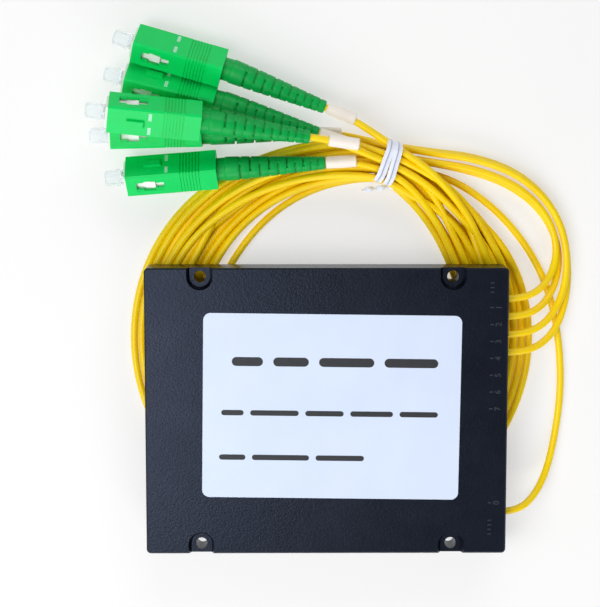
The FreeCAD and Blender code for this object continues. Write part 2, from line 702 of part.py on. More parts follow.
def grip_housing():
    """The sliding outer housing with its key, windows, ribs and light marks."""
    half_w, half_h = GRIP_WIDTH / 2, GRIP_HEIGHT / 2
    shell = block((-GRIP_LENGTH, 0), (-half_w, half_w), (-half_h, half_h))
    shell = shell.makeChamfer(GRIP_EDGE, [e for e in shell.Edges if abs(e.tangentAt(0).x) > 0.9])
    for i in range(RIB_COUNT):
        x = -RIB_START - RIB_PITCH * i
        span = (x - RIB_GROOVE, x)
        ring = block(span, (-half_w, half_w), (-half_h, half_h))
        core = block(span, (RIB_DEPTH - half_w, half_w - RIB_DEPTH),
                     (RIB_DEPTH - half_h, half_h - RIB_DEPTH))
        shell = shell.cut(ring.cut(core))
    key = block((-KEY_START - KEY_LENGTH, -KEY_START), (-KEY_WIDTH / 2, KEY_WIDTH / 2),
                (half_h - GRIP_EDGE, half_h + KEY_HEIGHT))
    key = key.makeChamfer(KEY_HEIGHT / 2, [e for e in key.Edges
                                           if e.BoundBox.XMax < -KEY_START - KEY_LENGTH + 0.01
                                           and e.BoundBox.ZMin > half_h])
    cavity = block((REAR_BORE_DEPTH - GRIP_LENGTH, 0),
                   (-FRAME_WIDTH / 2 - FRAME_GAP, FRAME_WIDTH / 2 + FRAME_GAP),
                   (-FRAME_HEIGHT / 2 - FRAME_GAP, FRAME_HEIGHT / 2 + FRAME_GAP))
    window = block((-WINDOW_START - WINDOW_LENGTH, -WINDOW_START), (-half_w, half_w),
                   (-WINDOW_HEIGHT / 2, WINDOW_HEIGHT / 2))
    bore = flat_sided_bar(REAR_BORE, BOOT_SIDES, REAR_BORE_DEPTH - GRIP_LENGTH, -GRIP_LENGTH)
    marks = [block((-MARK_START - MARK_LENGTH, -MARK_START),
                   (sy * MARK_SPREAD - MARK_WIDTH / 2, sy * MARK_SPREAD + MARK_WIDTH / 2),
                   sorted((sz * half_h, sz * (half_h - MARK_DEPTH))))
             for sy in (-1, 1) for sz in (-1, 1)]
    return fuse([shell, key]).cut([cavity, window, bore] + marks)


def plug_frame():
    """The inner frame, stepped inside, with a latch ramp in each window of the grip."""
    half_w, half_h = FRAME_WIDTH / 2, FRAME_HEIGHT / 2
    body = block((FRAME_REAR, FRAME_NOSE), (-half_w, half_w), (-half_h, half_h))
    for side in (-1, 1):
        foot = side * (half_w - LATCH_HEIGHT)
        crest = side * (half_w + LATCH_HEIGHT)
        rear = -LATCH_START - LATCH_LENGTH
        ramp = Part.makePolygon([Vector(-LATCH_START, foot, -LATCH_WIDTH / 2),
                                 Vector(-LATCH_START, side * half_w, -LATCH_WIDTH / 2),
                                 Vector(rear + LATCH_HEIGHT, crest, -LATCH_WIDTH / 2),
                                 Vector(rear, crest, -LATCH_WIDTH / 2),
                                 Vector(rear, foot, -LATCH_WIDTH / 2),
                                 Vector(-LATCH_START, foot, -LATCH_WIDTH / 2)])
        body = body.fuse(Part.Face(ramp).extrude(Vector(0, 0, LATCH_WIDTH)))
    web_front = FRAME_NOSE - FRAME_FRONT_DEPTH
    bores = [flat_sided_bar(FRAME_FRONT_BORE, BOOT_SIDES, FRAME_NOSE, web_front),
             flat_sided_bar(FRAME_WEB_BORE, BOOT_SIDES, web_front, WEB_REAR),
             flat_sided_bar(FRAME_REAR_CAVITY, 4, WEB_REAR, FRAME_REAR)]
    return body.cut(bores).removeSplitter()


def ferrule():
    """The ceramic ferrule with its angled tip, flange and tail tube."""
    tip = round_bar(FERRULE, FERRULE_TIP, FLANGE_FRONT - FLANGE_LENGTH / 2)
    wedge = block((0, FERRULE * 2), (-FERRULE, FERRULE), (-FERRULE * 2, FERRULE * 2))
    wedge.rotate(Vector(), Y_AXIS, FERRULE_ANGLE)
    wedge.translate(Vector(FERRULE_TIP - FERRULE / 2 * math.tan(math.radians(FERRULE_ANGLE)), 0, 0))
    flange_rear = FLANGE_FRONT - FLANGE_LENGTH
    flange = flat_sided_bar(FLANGE_DIAMETER, 6, FLANGE_FRONT, flange_rear)
    tail = flat_sided_bar(TAIL_TUBE, TUBE_SIDES, flange_rear + FLANGE_LENGTH / 2,
                          flange_rear - TAIL_TUBE_LENGTH)
    return fuse([tip.cut(wedge), flange, tail])


def spring():
    """The ferrule's spring, a flat-sided helix of square wire."""
    sections = []
    count = SPRING_TURNS * SPRING_SIDES
    half = SPRING_WIRE / 2
    travel = SPRING_FRONT - SPRING_REAR - SPRING_WIRE
    for i in range(count + 1):
        angle = 2 * math.pi * i / SPRING_SIDES
        x = SPRING_REAR + half + travel * i / count
        corners = []
        for dx, dr in ((-half, -half), (half, -half), (half, half), (-half, half)):
            radius = SPRING_RADIUS + dr
            corners.append(Vector(x + dx, radius * math.cos(angle), radius * math.sin(angle)))
        sections.append(Part.makePolygon(corners + corners[:1]))
    return Part.makeLoft(sections, True, True)


def rear_body():
    """The bored body that closes the frame and carries the crimp ring."""
    neck_rear = NECK_FRONT - REAR_NECK_LENGTH
    front = FRAME_REAR + REAR_PLUG_LENGTH
    pieces = [flat_sided_bar(FRAME_REAR_CAVITY - 2 * REAR_PLUG_GAP, 4, front, FRAME_REAR),
              flat_sided_bar(REAR_FLANGE, TUBE_SIDES, FRAME_REAR, NECK_FRONT),
              flat_sided_bar(REAR_NECK, TUBE_SIDES, NECK_FRONT, neck_rear)]
    return fuse(pieces).cut(flat_sided_bar(REAR_BODY_BORE, TUBE_SIDES, front, neck_rear))


def crimp_bore():
    """Inner diameter of the crimp ring."""
    return REAR_NECK + 2 * CRIMP_GAP


def crimp_ring():
    """The crimp ring on the rear body's neck."""
    rear = NECK_FRONT - CRIMP_LENGTH
    outer = flat_sided_bar(crimp_bore() + 2 * CRIMP_WALL, TUBE_SIDES, NECK_FRONT, rear)
    return outer.cut(flat_sided_bar(crimp_bore(), TUBE_SIDES, NECK_FRONT, rear))


def boot_diameter(distance):
    """The boot's outer diameter at a distance behind its wide end."""
    share = (distance - BOOT_SHOULDER_LENGTH) / (BOOT_LENGTH - BOOT_SHOULDER_LENGTH)
    return BOOT_SHOULDER + (BOOT_END - BOOT_SHOULDER) * share


def boot(plug):
    """The tapered strain relief, slit from alternate sides, with its collar in the grip."""
    stations = ((BOOT_BASE, 0), (BOOT_SHOULDER, BOOT_SHOULDER_LENGTH), (BOOT_END, BOOT_LENGTH))
    body = Part.makeLoft([ring_of_corners(diameter, BOOT_SIDES, -distance)
                          for diameter, distance in stations], True, True)
    for i in range(BOOT_SLIT_COUNT):
        distance = BOOT_SHOULDER_LENGTH + BOOT_SLIT_PITCH * (i + 0.5)
        outer = boot_diameter(distance) / 2 + 1
        root = CABLE / 2 + CABLE_GAP + BOOT_WALL
        span = (-distance - BOOT_SLIT, -distance)
        for side in (-1, 1):
            if i % 2:
                slit = block(span, sorted((side * root, side * outer)), (-outer, outer))
            else:
                slit = block(span, (-outer, outer), sorted((side * root, side * outer)))
            body = body.cut(slit)
    body = body.cut(flat_sided_bar(CABLE + 2 * CABLE_GAP, TUBE_SIDES, 1, -BOOT_LENGTH))
    body.Placement = boot_place(plug)
    collar_rear = BOOT_FRONT - BOOT_START_GAP
    collar = flat_sided_bar(BOOT_COLLAR, BOOT_SIDES, REAR_BORE_DEPTH - GRIP_LENGTH - GRIP_TRAVEL,
                            collar_rear)
    chamber_rear = min(NECK_FRONT - REAR_NECK_LENGTH, NECK_FRONT - CRIMP_LENGTH) - CRIMP_GAP
    chamber = flat_sided_bar(crimp_bore() + 2 * (CRIMP_WALL + CRIMP_GAP), TUBE_SIDES, 0,
                             chamber_rear)
    collar.Placement = plug_place(plug)
    chamber.Placement = plug_place(plug)
    return fuse([body, collar]).cut(chamber)


def dust_cap():
    """The clear cap: a sleeve on the ferrule and a closed grip in front of the frame."""
    grip_rear = FRAME_NOSE + CAP_CLEARANCE
    front = grip_rear + CAP_GRIP_LENGTH
    sleeve_rear = FRAME_NOSE - FRAME_FRONT_DEPTH + CAP_CLEARANCE
    grip = flat_sided_bar(CAP_DIAMETER, BOOT_SIDES, front, grip_rear)
    sleeve = flat_sided_bar(CAP_SLEEVE, BOOT_SIDES, grip_rear + CAP_GRIP_LENGTH / 2, sleeve_rear)
    bore = flat_sided_bar(FERRULE + 2 * CAP_BORE_GAP, BOOT_SIDES, FERRULE_TIP + CAP_CLEARANCE,
                          sleeve_rear)
    return fuse([grip, sleeve]).cut(bore)


def placed(shape, plug):
    """A copy of a plug's piece, put where that plug lies."""
    copy = shape.copy()
    copy.Placement = plug_place(plug)
    return copy


def tail_route(plug, end):
    """A tail's points: inside its boot, straight behind it, and at the tie."""
    place = boot_place(plug)
    inside = place.multVec(Vector(TAIL_INSIDE_BOOT - BOOT_LENGTH, 0, 0))
    behind = place.multVec(Vector(-TAIL_STRAIGHT - BOOT_LENGTH, 0, 0))
    return [tuple(inside), tuple(behind), end]


def marker_sleeve(path, start):
    """A sleeve on a tail, start millimetres behind its boot."""
    first = TAIL_INSIDE_BOOT + start
    points = path.discretize(Distance=0.1)
    rear = points[min(int(first / 0.1), len(points) - 2)]
    front = points[min(int((first + MARKER_LENGTH) / 0.1), len(points) - 1)]
    axis = front - rear
    sleeve = flat_sided_bar(MARKER_DIAMETER, BOOT_SIDES, MARKER_LENGTH, 0)
    sleeve = sleeve.cut(flat_sided_bar(MARKER_BORE, BOOT_SIDES, MARKER_LENGTH, 0))
    sleeve.Placement = Placement(rear, Rotation(X_AXIS, axis))
    return sleeve


def build_cassette():
    """Write the cassette and what is in it."""
    save("base_tray", base_tray())
    save("lid", lid())
    save("label", label())
    save("splitter_tube", splitter_tube())
    save("splitter_chip", splitter_chip())
    save("fibre_arrays", fibre_arrays())
    save("tube_end_plugs", tube_end_plugs())
    save("input_fibre", input_fibre())
    save("output_fibres", output_fibres())
    save("cable_anchors", cable_anchors())


def build_cables():
    """Write the pigtails, their coil, tie and marker sleeves."""
    for name, tube in leads().items():
        save(name, tube)
    save("pigtail_coil", pigtail_coil())
    save("twist_tie", twist_tie())
    for i, (plug, end, start) in enumerate(zip(PLUGS, TAIL_ENDS, MARKER_STARTS), 1):
        tube, path = cable_tube(tail_route(plug, end))
        save("tail_%d" % i, tube)
        save("marker_sleeve_%d" % i, marker_sleeve(path, start))


def build_plugs():
    """Write the five plugs."""
    pieces = {"grip_housing": grip_housing(), "plug_frame": plug_frame(), "ferrule": ferrule(),
              "spring": spring(), "dust_cap": dust_cap()}
    for i, plug in enumerate(PLUGS, 1):
        for name, shape in pieces.items():
            save("%s_%d" % (name, i), placed(shape, plug))
        save("boot_%d" % i, boot(plug))
    save("rear_bodies", [placed(rear_body(), plug) for plug in PLUGS])
    save("crimp_rings", [placed(crimp_ring(), plug) for plug in PLUGS])


def main():
    """Write every node of the assembly."""
    os.makedirs("parts", exist_ok=True)
    build_cassette()
    build_cables()
    build_plugs()


main()
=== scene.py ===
"""A fibre splitter cassette with its coiled pigtails, dressed for rendering."""
import math

import bmesh
import bpy
import numpy as np
from mathutils import Matrix, Vector


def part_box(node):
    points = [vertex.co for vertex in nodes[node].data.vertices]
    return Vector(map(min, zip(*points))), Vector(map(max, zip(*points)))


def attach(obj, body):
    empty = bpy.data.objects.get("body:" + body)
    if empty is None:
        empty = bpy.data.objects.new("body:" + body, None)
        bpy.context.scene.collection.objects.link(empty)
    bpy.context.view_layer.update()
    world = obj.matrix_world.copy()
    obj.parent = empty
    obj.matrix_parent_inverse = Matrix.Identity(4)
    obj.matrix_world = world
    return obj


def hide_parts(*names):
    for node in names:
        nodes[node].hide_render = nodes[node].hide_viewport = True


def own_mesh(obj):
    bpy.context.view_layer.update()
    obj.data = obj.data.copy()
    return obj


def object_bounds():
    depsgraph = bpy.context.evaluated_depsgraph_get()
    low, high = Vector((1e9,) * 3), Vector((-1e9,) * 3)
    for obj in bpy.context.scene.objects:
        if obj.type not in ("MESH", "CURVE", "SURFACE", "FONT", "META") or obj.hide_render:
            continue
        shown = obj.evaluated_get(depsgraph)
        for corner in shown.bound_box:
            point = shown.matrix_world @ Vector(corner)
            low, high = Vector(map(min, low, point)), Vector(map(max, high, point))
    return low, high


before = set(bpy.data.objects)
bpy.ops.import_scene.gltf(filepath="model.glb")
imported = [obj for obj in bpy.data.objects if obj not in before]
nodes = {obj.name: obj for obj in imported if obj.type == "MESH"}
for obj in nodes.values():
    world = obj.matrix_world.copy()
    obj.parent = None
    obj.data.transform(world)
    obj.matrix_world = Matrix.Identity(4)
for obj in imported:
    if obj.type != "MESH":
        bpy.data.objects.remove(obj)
cad_low, cad_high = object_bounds()
MM = 0.001

# ---- the cassette, in millimetres, read from the frame ----------------------------------
BENCH = cad_low[2] / MM
BOX_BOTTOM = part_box("base_tray")[0][2] / MM
LID_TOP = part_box("lid")[1][2] / MM
LABEL_LOW, LABEL_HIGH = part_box("label")
LABEL_TOP = LABEL_HIGH[2] / MM
LABEL_X = (LABEL_LOW[0] + LABEL_HIGH[0]) / 2 / MM
LABEL_Y = (LABEL_LOW[1] + LABEL_HIGH[1]) / 2 / MM
LABEL_TURN = -0.75           # degrees that the label was stuck on askew
CASE_SHADOW_X = 51.0         # how far from the middle a strand still lies under the case
CASE_SHADOW_Y = 42.0
UNDER_CASE_GAP = 0.05

# ---- pigtails, in millimetres -----------------------------------------------------------
CABLE = 2.0
TAIL_STRAIGHT = 7.0
TAIL_IN_BOOT = (6.0, 14.0)   # how far up the boot its last two points lie

# ---- the coil, in millimetres and degrees -------------------------------------------------
COIL_X = 1.9
COIL_Y = 19.5
TIE_TURN = math.radians(72.4)
TURNS = 3
STEPS = 36                   # points on each turn
CABLE_PITCH = 2.03           # closest that two strands lie
LOWER_LEVEL = BENCH + CABLE / 2
UPPER_LEVEL = LOWER_LEVEL + 1.8

# how far round from the tie a strand is drawn in, then spreads, and at last gathers again
DRAW_IN_RUN = 20
SPREAD_RUN = 62
GATHER_RUN = 48
# a strand drawn in past the tie: its radius for one that left at the tie's middle radius,
# what it keeps of its distance from that one, and how it sinks
DRAWN_RADIUS = 43.4
DRAWN_MIDDLE = 48.0
DRAWN_SPREAD = 0.75
DRAWN_HEIGHT_SHARE = 0.6
DRAWN_DROP = 3.4
# the inner strands cut the corner on the cable side
SHOULDER = 4.5
SHOULDER_INSIDE = 52
SHOULDER_RANGE = 14
SHOULDER_AT = 326
SHOULDER_RUN = 15
# the one strand that slipped inwards, by cable and turn
STRAY_STRAND = (0, 1)
STRAY_DEPTH = 6.5
STRAY_AT = 72
STRAY_RUN = 30
# how far a loose strand wanders, and how that shifts from cable to cable and turn to turn
WANDER = 0.9
WANDER_BY_CABLE = 2.3
WANDER_BY_TURN = 4.1

# how the strands are eased apart: rounds, and shares of a move made in one round
PACKING_ROUNDS = 260
CLEARING_ROUNDS = 40         # last rounds, in which strands only part
SMOOTHING = 0.30
LAST_SMOOTHING = 0.06
PLAN_PULL = 0.03
SINKING = 0.02               # millimetres a round
STRAND_PUSH = 0.45
LEAD_STEPS = 6               # steps at the end of a turn beside which the leads come in

# radius and height of each cable at its four passes through the tie, input cable first
TIE_PASSES = [
    [(51.1, -7.7), (46.6, -7.7), (46.6, -3.9), (49.0, -2.0)],
    [(55.8, -7.7), (46.6, -5.8), (49.0, -3.9), (55.8, -2.0)],
    [(55.8, -5.8), (49.0, -7.7), (51.2, -3.9), (53.4, -1.9)],
    [(53.4, -7.7), (49.0, -5.8), (53.4, -3.9), (55.8, -3.9)],
    [(53.4, -5.8), (51.2, -5.8), (46.6, -2.0), (51.2, -1.8)],
]

# radius of each cable on its three turns where the coil lies loose
LOOSE_RADII = [
    [47.6, 36.8, 38.0],
    [56.0, 38.9, 46.8],
    [53.9, 43.2, 50.2],
    [51.8, 41.0, 46.2],
    [49.7, 44.9, 47.4],
]

# each cable's way from its exit to the tie
LEAD_ROUTES = [
    [(46.6, -29.5, 0.0), (53.0, -29.5, 0.0), (58.6, -26.4, -3.4), (62.8, -19.4, -6.8),
     (65.3, -8.6, -8.3), (66.6, 3.2, -8.3), (66.2, 14.8, -8.3), (64.4, 26.0, -8.3),
     (61.4, 35.4, -8.3), (57.0, 43.6, -8.3), (51.0, 51.4, -8.3), (43.7, 58.0, -8.2),
     (35.4, 63.2, -8.1), (26.6, 65.8, -7.9)],
    [(46.6, 15.8, 0.0), (53.2, 15.8, 0.0), (59.8, 17.2, -2.8), (65.0, 22.2, -5.6),
     (67.7, 30.5, -7.5), (68.1, 40.0, -8.3), (66.4, 49.8, -8.3), (61.0, 59.0, -8.3),
     (52.4, 65.9, -8.3), (40.8, 69.8, -8.2), (29.8, 71.0, -7.9)],
    [(46.6, 20.8, 0.0), (53.2, 20.8, 0.0), (59.6, 22.4, -2.4), (64.4, 27.2, -4.6),
     (67.1, 34.6, -5.7), (67.4, 43.4, -6.1), (65.0, 52.4, -6.1), (59.4, 60.2, -6.1),
     (51.0, 66.0, -6.0), (40.4, 69.4, -5.9), (29.8, 70.7, -5.7)],
    [(46.6, 25.8, 0.0), (53.2, 25.8, 0.0), (59.4, 27.6, -2.8), (63.4, 32.2, -5.8),
     (65.5, 38.6, -8.0), (64.9, 45.9, -8.3), (61.4, 53.1, -8.3), (55.8, 58.8, -8.3),
     (47.8, 63.4, -8.2), (38.0, 66.3, -8.1), (28.6, 68.1, -7.9)],
    [(46.6, 30.8, 0.0), (53.2, 30.8, 0.0), (59.0, 32.6, -2.2), (62.9, 37.0, -4.4),
     (64.6, 43.6, -5.8), (63.0, 50.7, -6.1), (58.6, 57.2, -6.1), (51.2, 62.8, -6.1),
     (40.4, 66.7, -6.0), (29.7, 68.2, -5.8)],
]

CABLE_NAMES = ["input", "output_1", "output_2", "output_3", "output_4"]
PLUG_OF_CABLE = [5, 1, 2, 4, 3]

# ---- plugs, in millimetres, along each plug from its front -------------------------------
PLUGS = [
    dict(front=(-52.2, 101.0, -2.5), heading=-16.1, rise=0.0, roll=230.0, swing=-5.0, dip=1.0),
    dict(front=(-54.9, 91.3, -3.4), heading=-14.0, rise=0.0, roll=50.0, swing=-3.5, dip=3.2),
    dict(front=(-58.8, 82.5, 8.1), heading=-6.0, rise=-5.0, roll=-35.0, swing=-2.5, dip=1.5),
    dict(front=(-59.2, 75.85, -4.8), heading=1.4, rise=0.0, roll=90.0, swing=-1.8, dip=-5.0),
    dict(front=(-54.9, 64.5, -3.3), heading=4.6, rise=1.9, roll=50.0, swing=-1.0, dip=1.0),
]
MARKER_STARTS = [0.6, 0.3, 5.2, 0.4, 0.2]
MARKER_LENGTH = 8.4
MARKER_DIAMETER = 3.3
MARKER_LIP = 0.25
MARKER_MOUTH = 0.1           # how far the bore opens at each end
MARKER_SWELL = 0.05
MARKER_AROUND = 32
MARKER_BORE_GAP = 0.15
MARKER_LIFT = 0.05           # clear of the bench

BOOT_FRONT = -26.8
BOOT_LENGTH = 28.0
BOOT_BASE = 6.8
BOOT_SHOULDER = 6.2
BOOT_SHOULDER_LENGTH = 7.5
BOOT_END = 3.5
BOOT_CORE = 3.0
BOOT_CORE_SHARE = 0.74       # least radius left in a slot, as a share of the boot's
BOOT_SET_BACK = 0.4          # leaves the pulled-back grip its room
BOOT_SLOT_START = 4.4
BOOT_SLOT_PITCH = 2.8
BOOT_SLOT_WIDTH = 0.62
PITCH_SHRINK = 0.96          # from slot to slot, towards the tip
WIDTH_SHRINK = 0.97
BOOT_TIP_LAND = 1.0
SLOT_EDGE = 0.06             # the rounding beside a slot, its depth, and the slot's wall
SLOT_EDGE_DEPTH = 0.05
SLOT_WALL = 0.02
SLOT_OPENS = 0.40            # where round the boot a slot starts, and over what share
SLOT_FLANK = 0.08
# the boot's rounded ends: how far from the end, and what the radius gains there
BOOT_WIDE_END = [(0.0, -0.25), (0.2, -0.08), (0.5, 0.0)]
BOOT_TIP_END = [(-0.5, 0.0), (-0.12, -0.1), (0.0, -0.4)]
BOOT_BORE = (0.05, 1.5)      # how far up from the tip the bore starts and ends
BOOT_AROUND = 64
BOOT_BORE_GAP = 0.02
COLLAR = 6.3
COLLAR_FACE = 5.6            # across its flat front, inside the rounded edge
COLLAR_FRONT = -23.4
COLLAR_EDGE = 0.2

SPRING_REAR = -16.3
SPRING_LENGTH = 6.7
SPRING_RADIUS = 1.6
SPRING_WIRE = 0.42
SPRING_TURNS = 4

# the cap's outline as distance along the plug and radius: bore, sleeve, bead, grip, dome
CAP_OUTLINE = [(1.95, 0.02), (1.9, 1.0), (1.6, 1.32), (-4.0, 1.36), (-4.1, 1.5), (-4.1, 1.95),
               (-3.9, 2.08), (1.7, 2.1), (1.9, 2.2), (1.95, 2.33), (2.2, 2.38), (2.9, 2.3),
               (3.3, 2.2), (5.2, 2.16), (5.7, 2.06), (6.0, 1.8), (6.1, 1.3), (6.1, 0.02)]
CAP_AROUND = 40

GRIP_HALF_HEIGHT = 3.7
GRIP_EDGE = 0.22
FRAME_EDGE = 0.12
WINDOW_HALF = 1.7
WEB_INSIDE = 3.66
WEB_FACE = 4.42
WEB_LAP = 0.05
WEB_EDGE = 0.08
# the webs' ranges along the plug, and how far from its middle they stop
WINDOW_ARMS = [((-4.8, -2.75), 1.15), ((-10.45, -8.0), 0.85)]
MARK_START = 10.9
MARK_LENGTH = 0.9
MARK_WIDTH = 2.4
MARK_SPREAD = 2.3
INK_LAP = 0.02
INK_DEPTH = 0.32
INK_PROUD = 0.03
INK_EDGE = 0.05

# ---- twist tie, in millimetres ------------------------------------------------------------
TIE_RADIUS = 51.2
TIE_BAND = 2.3
TIE_BOW = 0.6                # how far the middle of the tie stands along the strands
FILM_THICKNESS = 0.16
WIRE_RIDGE = 0.26
RIDGE_WIDTH = 0.22           # share of half the band
EDGE_THINNING = 0.05
BUNDLE_HALF_WIDTH = 5.75
BUNDLE_HEIGHT = 9.0
BUNDLE_LIFT = 0.7
BUNDLE_CORNER = 2.2
TWIST_LENGTH = 8.6
TWIST_HALF_WIDTH = 0.8
TWIST_TURN = 2.6 * math.pi   # over its whole length
TWIST_DROOP = 0.5
TWIST_HEADING = math.radians(24)
TWIST_FOOT = (3.0, -BUNDLE_HALF_WIDTH - 0.25, 0.6)
TWIST_FILM = 0.12            # half its thickness, and what the wire adds to that
TWIST_RIDGE = 0.2
TWIST_RIDGE_WIDTH = 0.25
# the two wraps: name, place along the strands, degrees askew, distance off the bundle
TIE_WRAPS = [("tie_wrap_left", -1.22, -2.2, 0.10), ("tie_wrap_right", 1.22, 1.6, 0.13)]
# where across the band the film has its points, and the rows between which wire shows
FILM_SHARES = [-1, -0.7, -0.42, -0.24, -0.12, 0, 0.12, 0.24, 0.42, 0.7, 1]
WIRE_ROWS = (4, 5)
TWIST_SHARES = [-1, -0.5, -0.16, 0.16, 0.5, 1]

# ---- print and relief, in millimetres -----------------------------------------------------
# rows of print: height up the label, thickness, and the ends of each bar
PRINT_ROWS = [(12.4, 2.5, [(-27.6, -19.0), (-16.2, -6.4), (-3.6, 11.6), (14.4, 29.2)]),
              (-1.9, 1.5, [(-30.4, -24.2), (-22.4, -9.0), (-7.2, 3.4), (5.2, 17.0),
                           (18.8, 29.4)]),
              (-14.4, 1.5, [(-30.9, -23.6), (-21.8, -6.0), (-4.2, 9.2)])]
PRINT_LIFT = 0.015
NUMERAL_X = 48.0
NUMERAL_SIZE = 2.3
TICK_X = 45.4
TICK_LENGTH = 1.0
TICK_WIDTH = 0.32
TICK_EDGE = 0.04
PORT_LEVELS = [29.1 - 4.7 * i for i in range(7)]
INPUT_LEVEL = -25.6
# the small bars past each group of numerals: how far off, how far apart and how many
OUTPUT_BARS = (4.2, 1.3, 3)
INPUT_BARS = (-5.0, -1.3, 4)
RELIEF = 0.09
RELIEF_EDGE = 0.03
RELIEF_ROOT = 0.05           # how far the bars start below the lid's top

# ---- camera and light, places in metres ---------------------------------------------------
CAMERA_PLACE = (-0.01036, 0.09339, 0.4906)
CAMERA_AHEAD = (0.0063, -0.1289, -0.9916)
CAMERA_ABOVE = (0.001, 0.9917, -0.1289)
CAMERA_LENS = 106.12         # millimetres, on a 36 mm wide frame
LIGHT_AIM = (0, 0.03, 0)
# name, place, width and height, watts
LIGHTS = [("key", (-0.36, -0.10, 0.68), (0.45, 0.6), 3.8),
          ("front", (0.04, -0.80, 0.46), (0.9, 0.4), 5.2),
          ("back", (0.20, 0.88, 0.50), (0.9, 0.4), 3.4)]
WORLD_STRENGTH = 0.18
FLOOR_REACH = 3.0
FLOOR_GAP = 0.0001           # under the lowest cable


# ---- finishes -------------------------------------------------------------------------
def linear(hex_colour):
    """An sRGB hex colour as linear red, green, blue, alpha."""
    parts = [int(hex_colour[i:i + 2], 16) / 255 for i in (1, 3, 5)]
    values = [p / 12.92 if p <= 0.04045 else ((p + 0.055) / 1.055) ** 2.4 for p in parts]
    return (*values, 1.0)


def add(tree, kind, settings=None, **inputs):
    """Adds one node. An input given as a socket is linked and any other is set; one named
    like _6 is found by its number."""
    node = tree.nodes.new(kind)
    for name, value in (settings or {}).items():
        setattr(node, name, value)
    for name, value in inputs.items():
        socket = node.inputs[int(name[1:]) if name[1:].isdigit() else name.replace("_", " ")]
        if isinstance(value, bpy.types.NodeSocket):
            tree.links.new(value, socket)
        else:
            socket.default_value = value
    return node


def finish_of(name, light, dark, patch_mm, grain_mm, grain_depth_mm, roughness, wear=0.08,
              **surface):
    """A material with mottled colour, a grain and uneven gloss, all at real sizes."""
    material = bpy.data.materials.new(name)
    material.use_nodes = True
    tree = material.node_tree
    tree.nodes.clear()
    place = add(tree, "ShaderNodeTexCoord").outputs["Object"]
    patches = add(tree, "ShaderNodeTexNoise", Vector=place, Scale=1 / (patch_mm * MM),
                  Detail=3.0, Roughness=0.55).outputs["Fac"]
    colour = add(tree, "ShaderNodeMix", {"data_type": "RGBA"}, _0=patches, _6=linear(dark),
                 _7=linear(light)).outputs[2]
    grain = add(tree, "ShaderNodeTexNoise", Vector=place, Scale=1 / (grain_mm * MM),
                Detail=2.0, Roughness=0.6).outputs["Fac"]
    gloss = add(tree, "ShaderNodeMapRange", Value=patches, To_Min=roughness - wear,
                To_Max=roughness + wear).outputs["Result"]
    bump = add(tree, "ShaderNodeBump", Strength=1.0, Distance=grain_depth_mm * MM,
               Height=grain).outputs["Normal"]
    shader = add(tree, "ShaderNodeBsdfPrincipled", Base_Color=colour, Roughness=gloss,
                 Normal=bump, **surface).outputs["BSDF"]
    add(tree, "ShaderNodeOutputMaterial", Surface=shader)
    return material


# ABS from a spark-eroded mould: near black with a cool sheen that drops off to one side.
# Its grain is about 0.2 mm across and too fine to show, so it is drawn at 0.6 mm.
case_abs = finish_of("case ABS spark grain", "#090d18", "#05080f", patch_mm=9.0,
                     grain_mm=0.60, grain_depth_mm=0.045, roughness=0.31, IOR=1.50,
                     Specular_IOR_Level=0.46, Specular_Tint=linear("#c8d8ff"))
# the same ABS on the raised figures, with a painted highlight: they are coloured a shade paler
# than the grain, standing in for the glints on their edges
case_relief_painted_highlight = finish_of("case ABS raised figures painted highlight", "#2d323f", "#212530", patch_mm=2.0,
                        grain_mm=0.3, grain_depth_mm=0.01, roughness=0.4, IOR=1.53)
# matt polypropylene film, rolled: a bluish white, nearly flat, with soft highlights
label_film = finish_of("label film matt", "#dde9fe", "#d1dff8", patch_mm=14.0, grain_mm=0.5,
                       grain_depth_mm=0.004, roughness=0.42, IOR=1.49)
# transfer-printed ink: charcoal rather than black, a little duller than the film
label_ink = finish_of("label ink", "#1c1e24", "#2a2c33", patch_mm=1.2, grain_mm=0.3,
                      grain_depth_mm=0.003, roughness=0.5, IOR=1.5)
# soft PVC, extruded: a warm, satin yellow whose colour drifts slightly along the cable
jacket_pvc = finish_of("jacket PVC yellow", "#ffe400", "#ffd000", patch_mm=7.0, grain_mm=0.5,
                       grain_depth_mm=0.012, roughness=0.36, IOR=1.53,
                       Specular_IOR_Level=0.35)
# pad-printed ink: pale green, as the grip's colour shows through it
mark_ink = finish_of("grip mark ink", "#b6f0d0", "#98e4bb", patch_mm=1.0, grain_mm=0.2,
                     grain_depth_mm=0.002, roughness=0.45, IOR=1.5)
# polybutylene terephthalate from a smooth mould: bright green with a soft sheen
grip_pbt = finish_of("grip PBT green", "#00e06c", "#00d05e", patch_mm=5.0, grain_mm=0.35,
                     grain_depth_mm=0.008, roughness=0.36, IOR=1.55,
                     Specular_IOR_Level=0.22)
# thermoplastic elastomer, moulded: a deeper, duller green that looks soft
boot_elastomer = finish_of("boot elastomer green", "#00b450", "#009e44", patch_mm=4.0,
                           grain_mm=0.4, grain_depth_mm=0.012, roughness=0.42, IOR=1.5,
                           Specular_IOR_Level=0.25)
# polybutylene terephthalate without pigment: a clean white that shades to grey in its bores
frame_pbt = finish_of("inner frame PBT white", "#fcfcfa", "#f2f3f1", patch_mm=3.0,
                      grain_mm=0.3, grain_depth_mm=0.006, roughness=0.38, IOR=1.55)
# shrunk polyolefin: creamy white and matt
sleeve_polyolefin = finish_of("marker sleeve polyolefin", "#fff7ee", "#f7eee2", patch_mm=3.0,
                              grain_mm=0.3, grain_depth_mm=0.010, roughness=0.5, IOR=1.5)
# polyethylene film, folded round a wire: bluish white with a slight gloss
tie_film = finish_of("twist tie film", "#f2f6ff", "#e2e9fa", patch_mm=2.0, grain_mm=0.3,
                     grain_depth_mm=0.010, roughness=0.32, IOR=1.5)
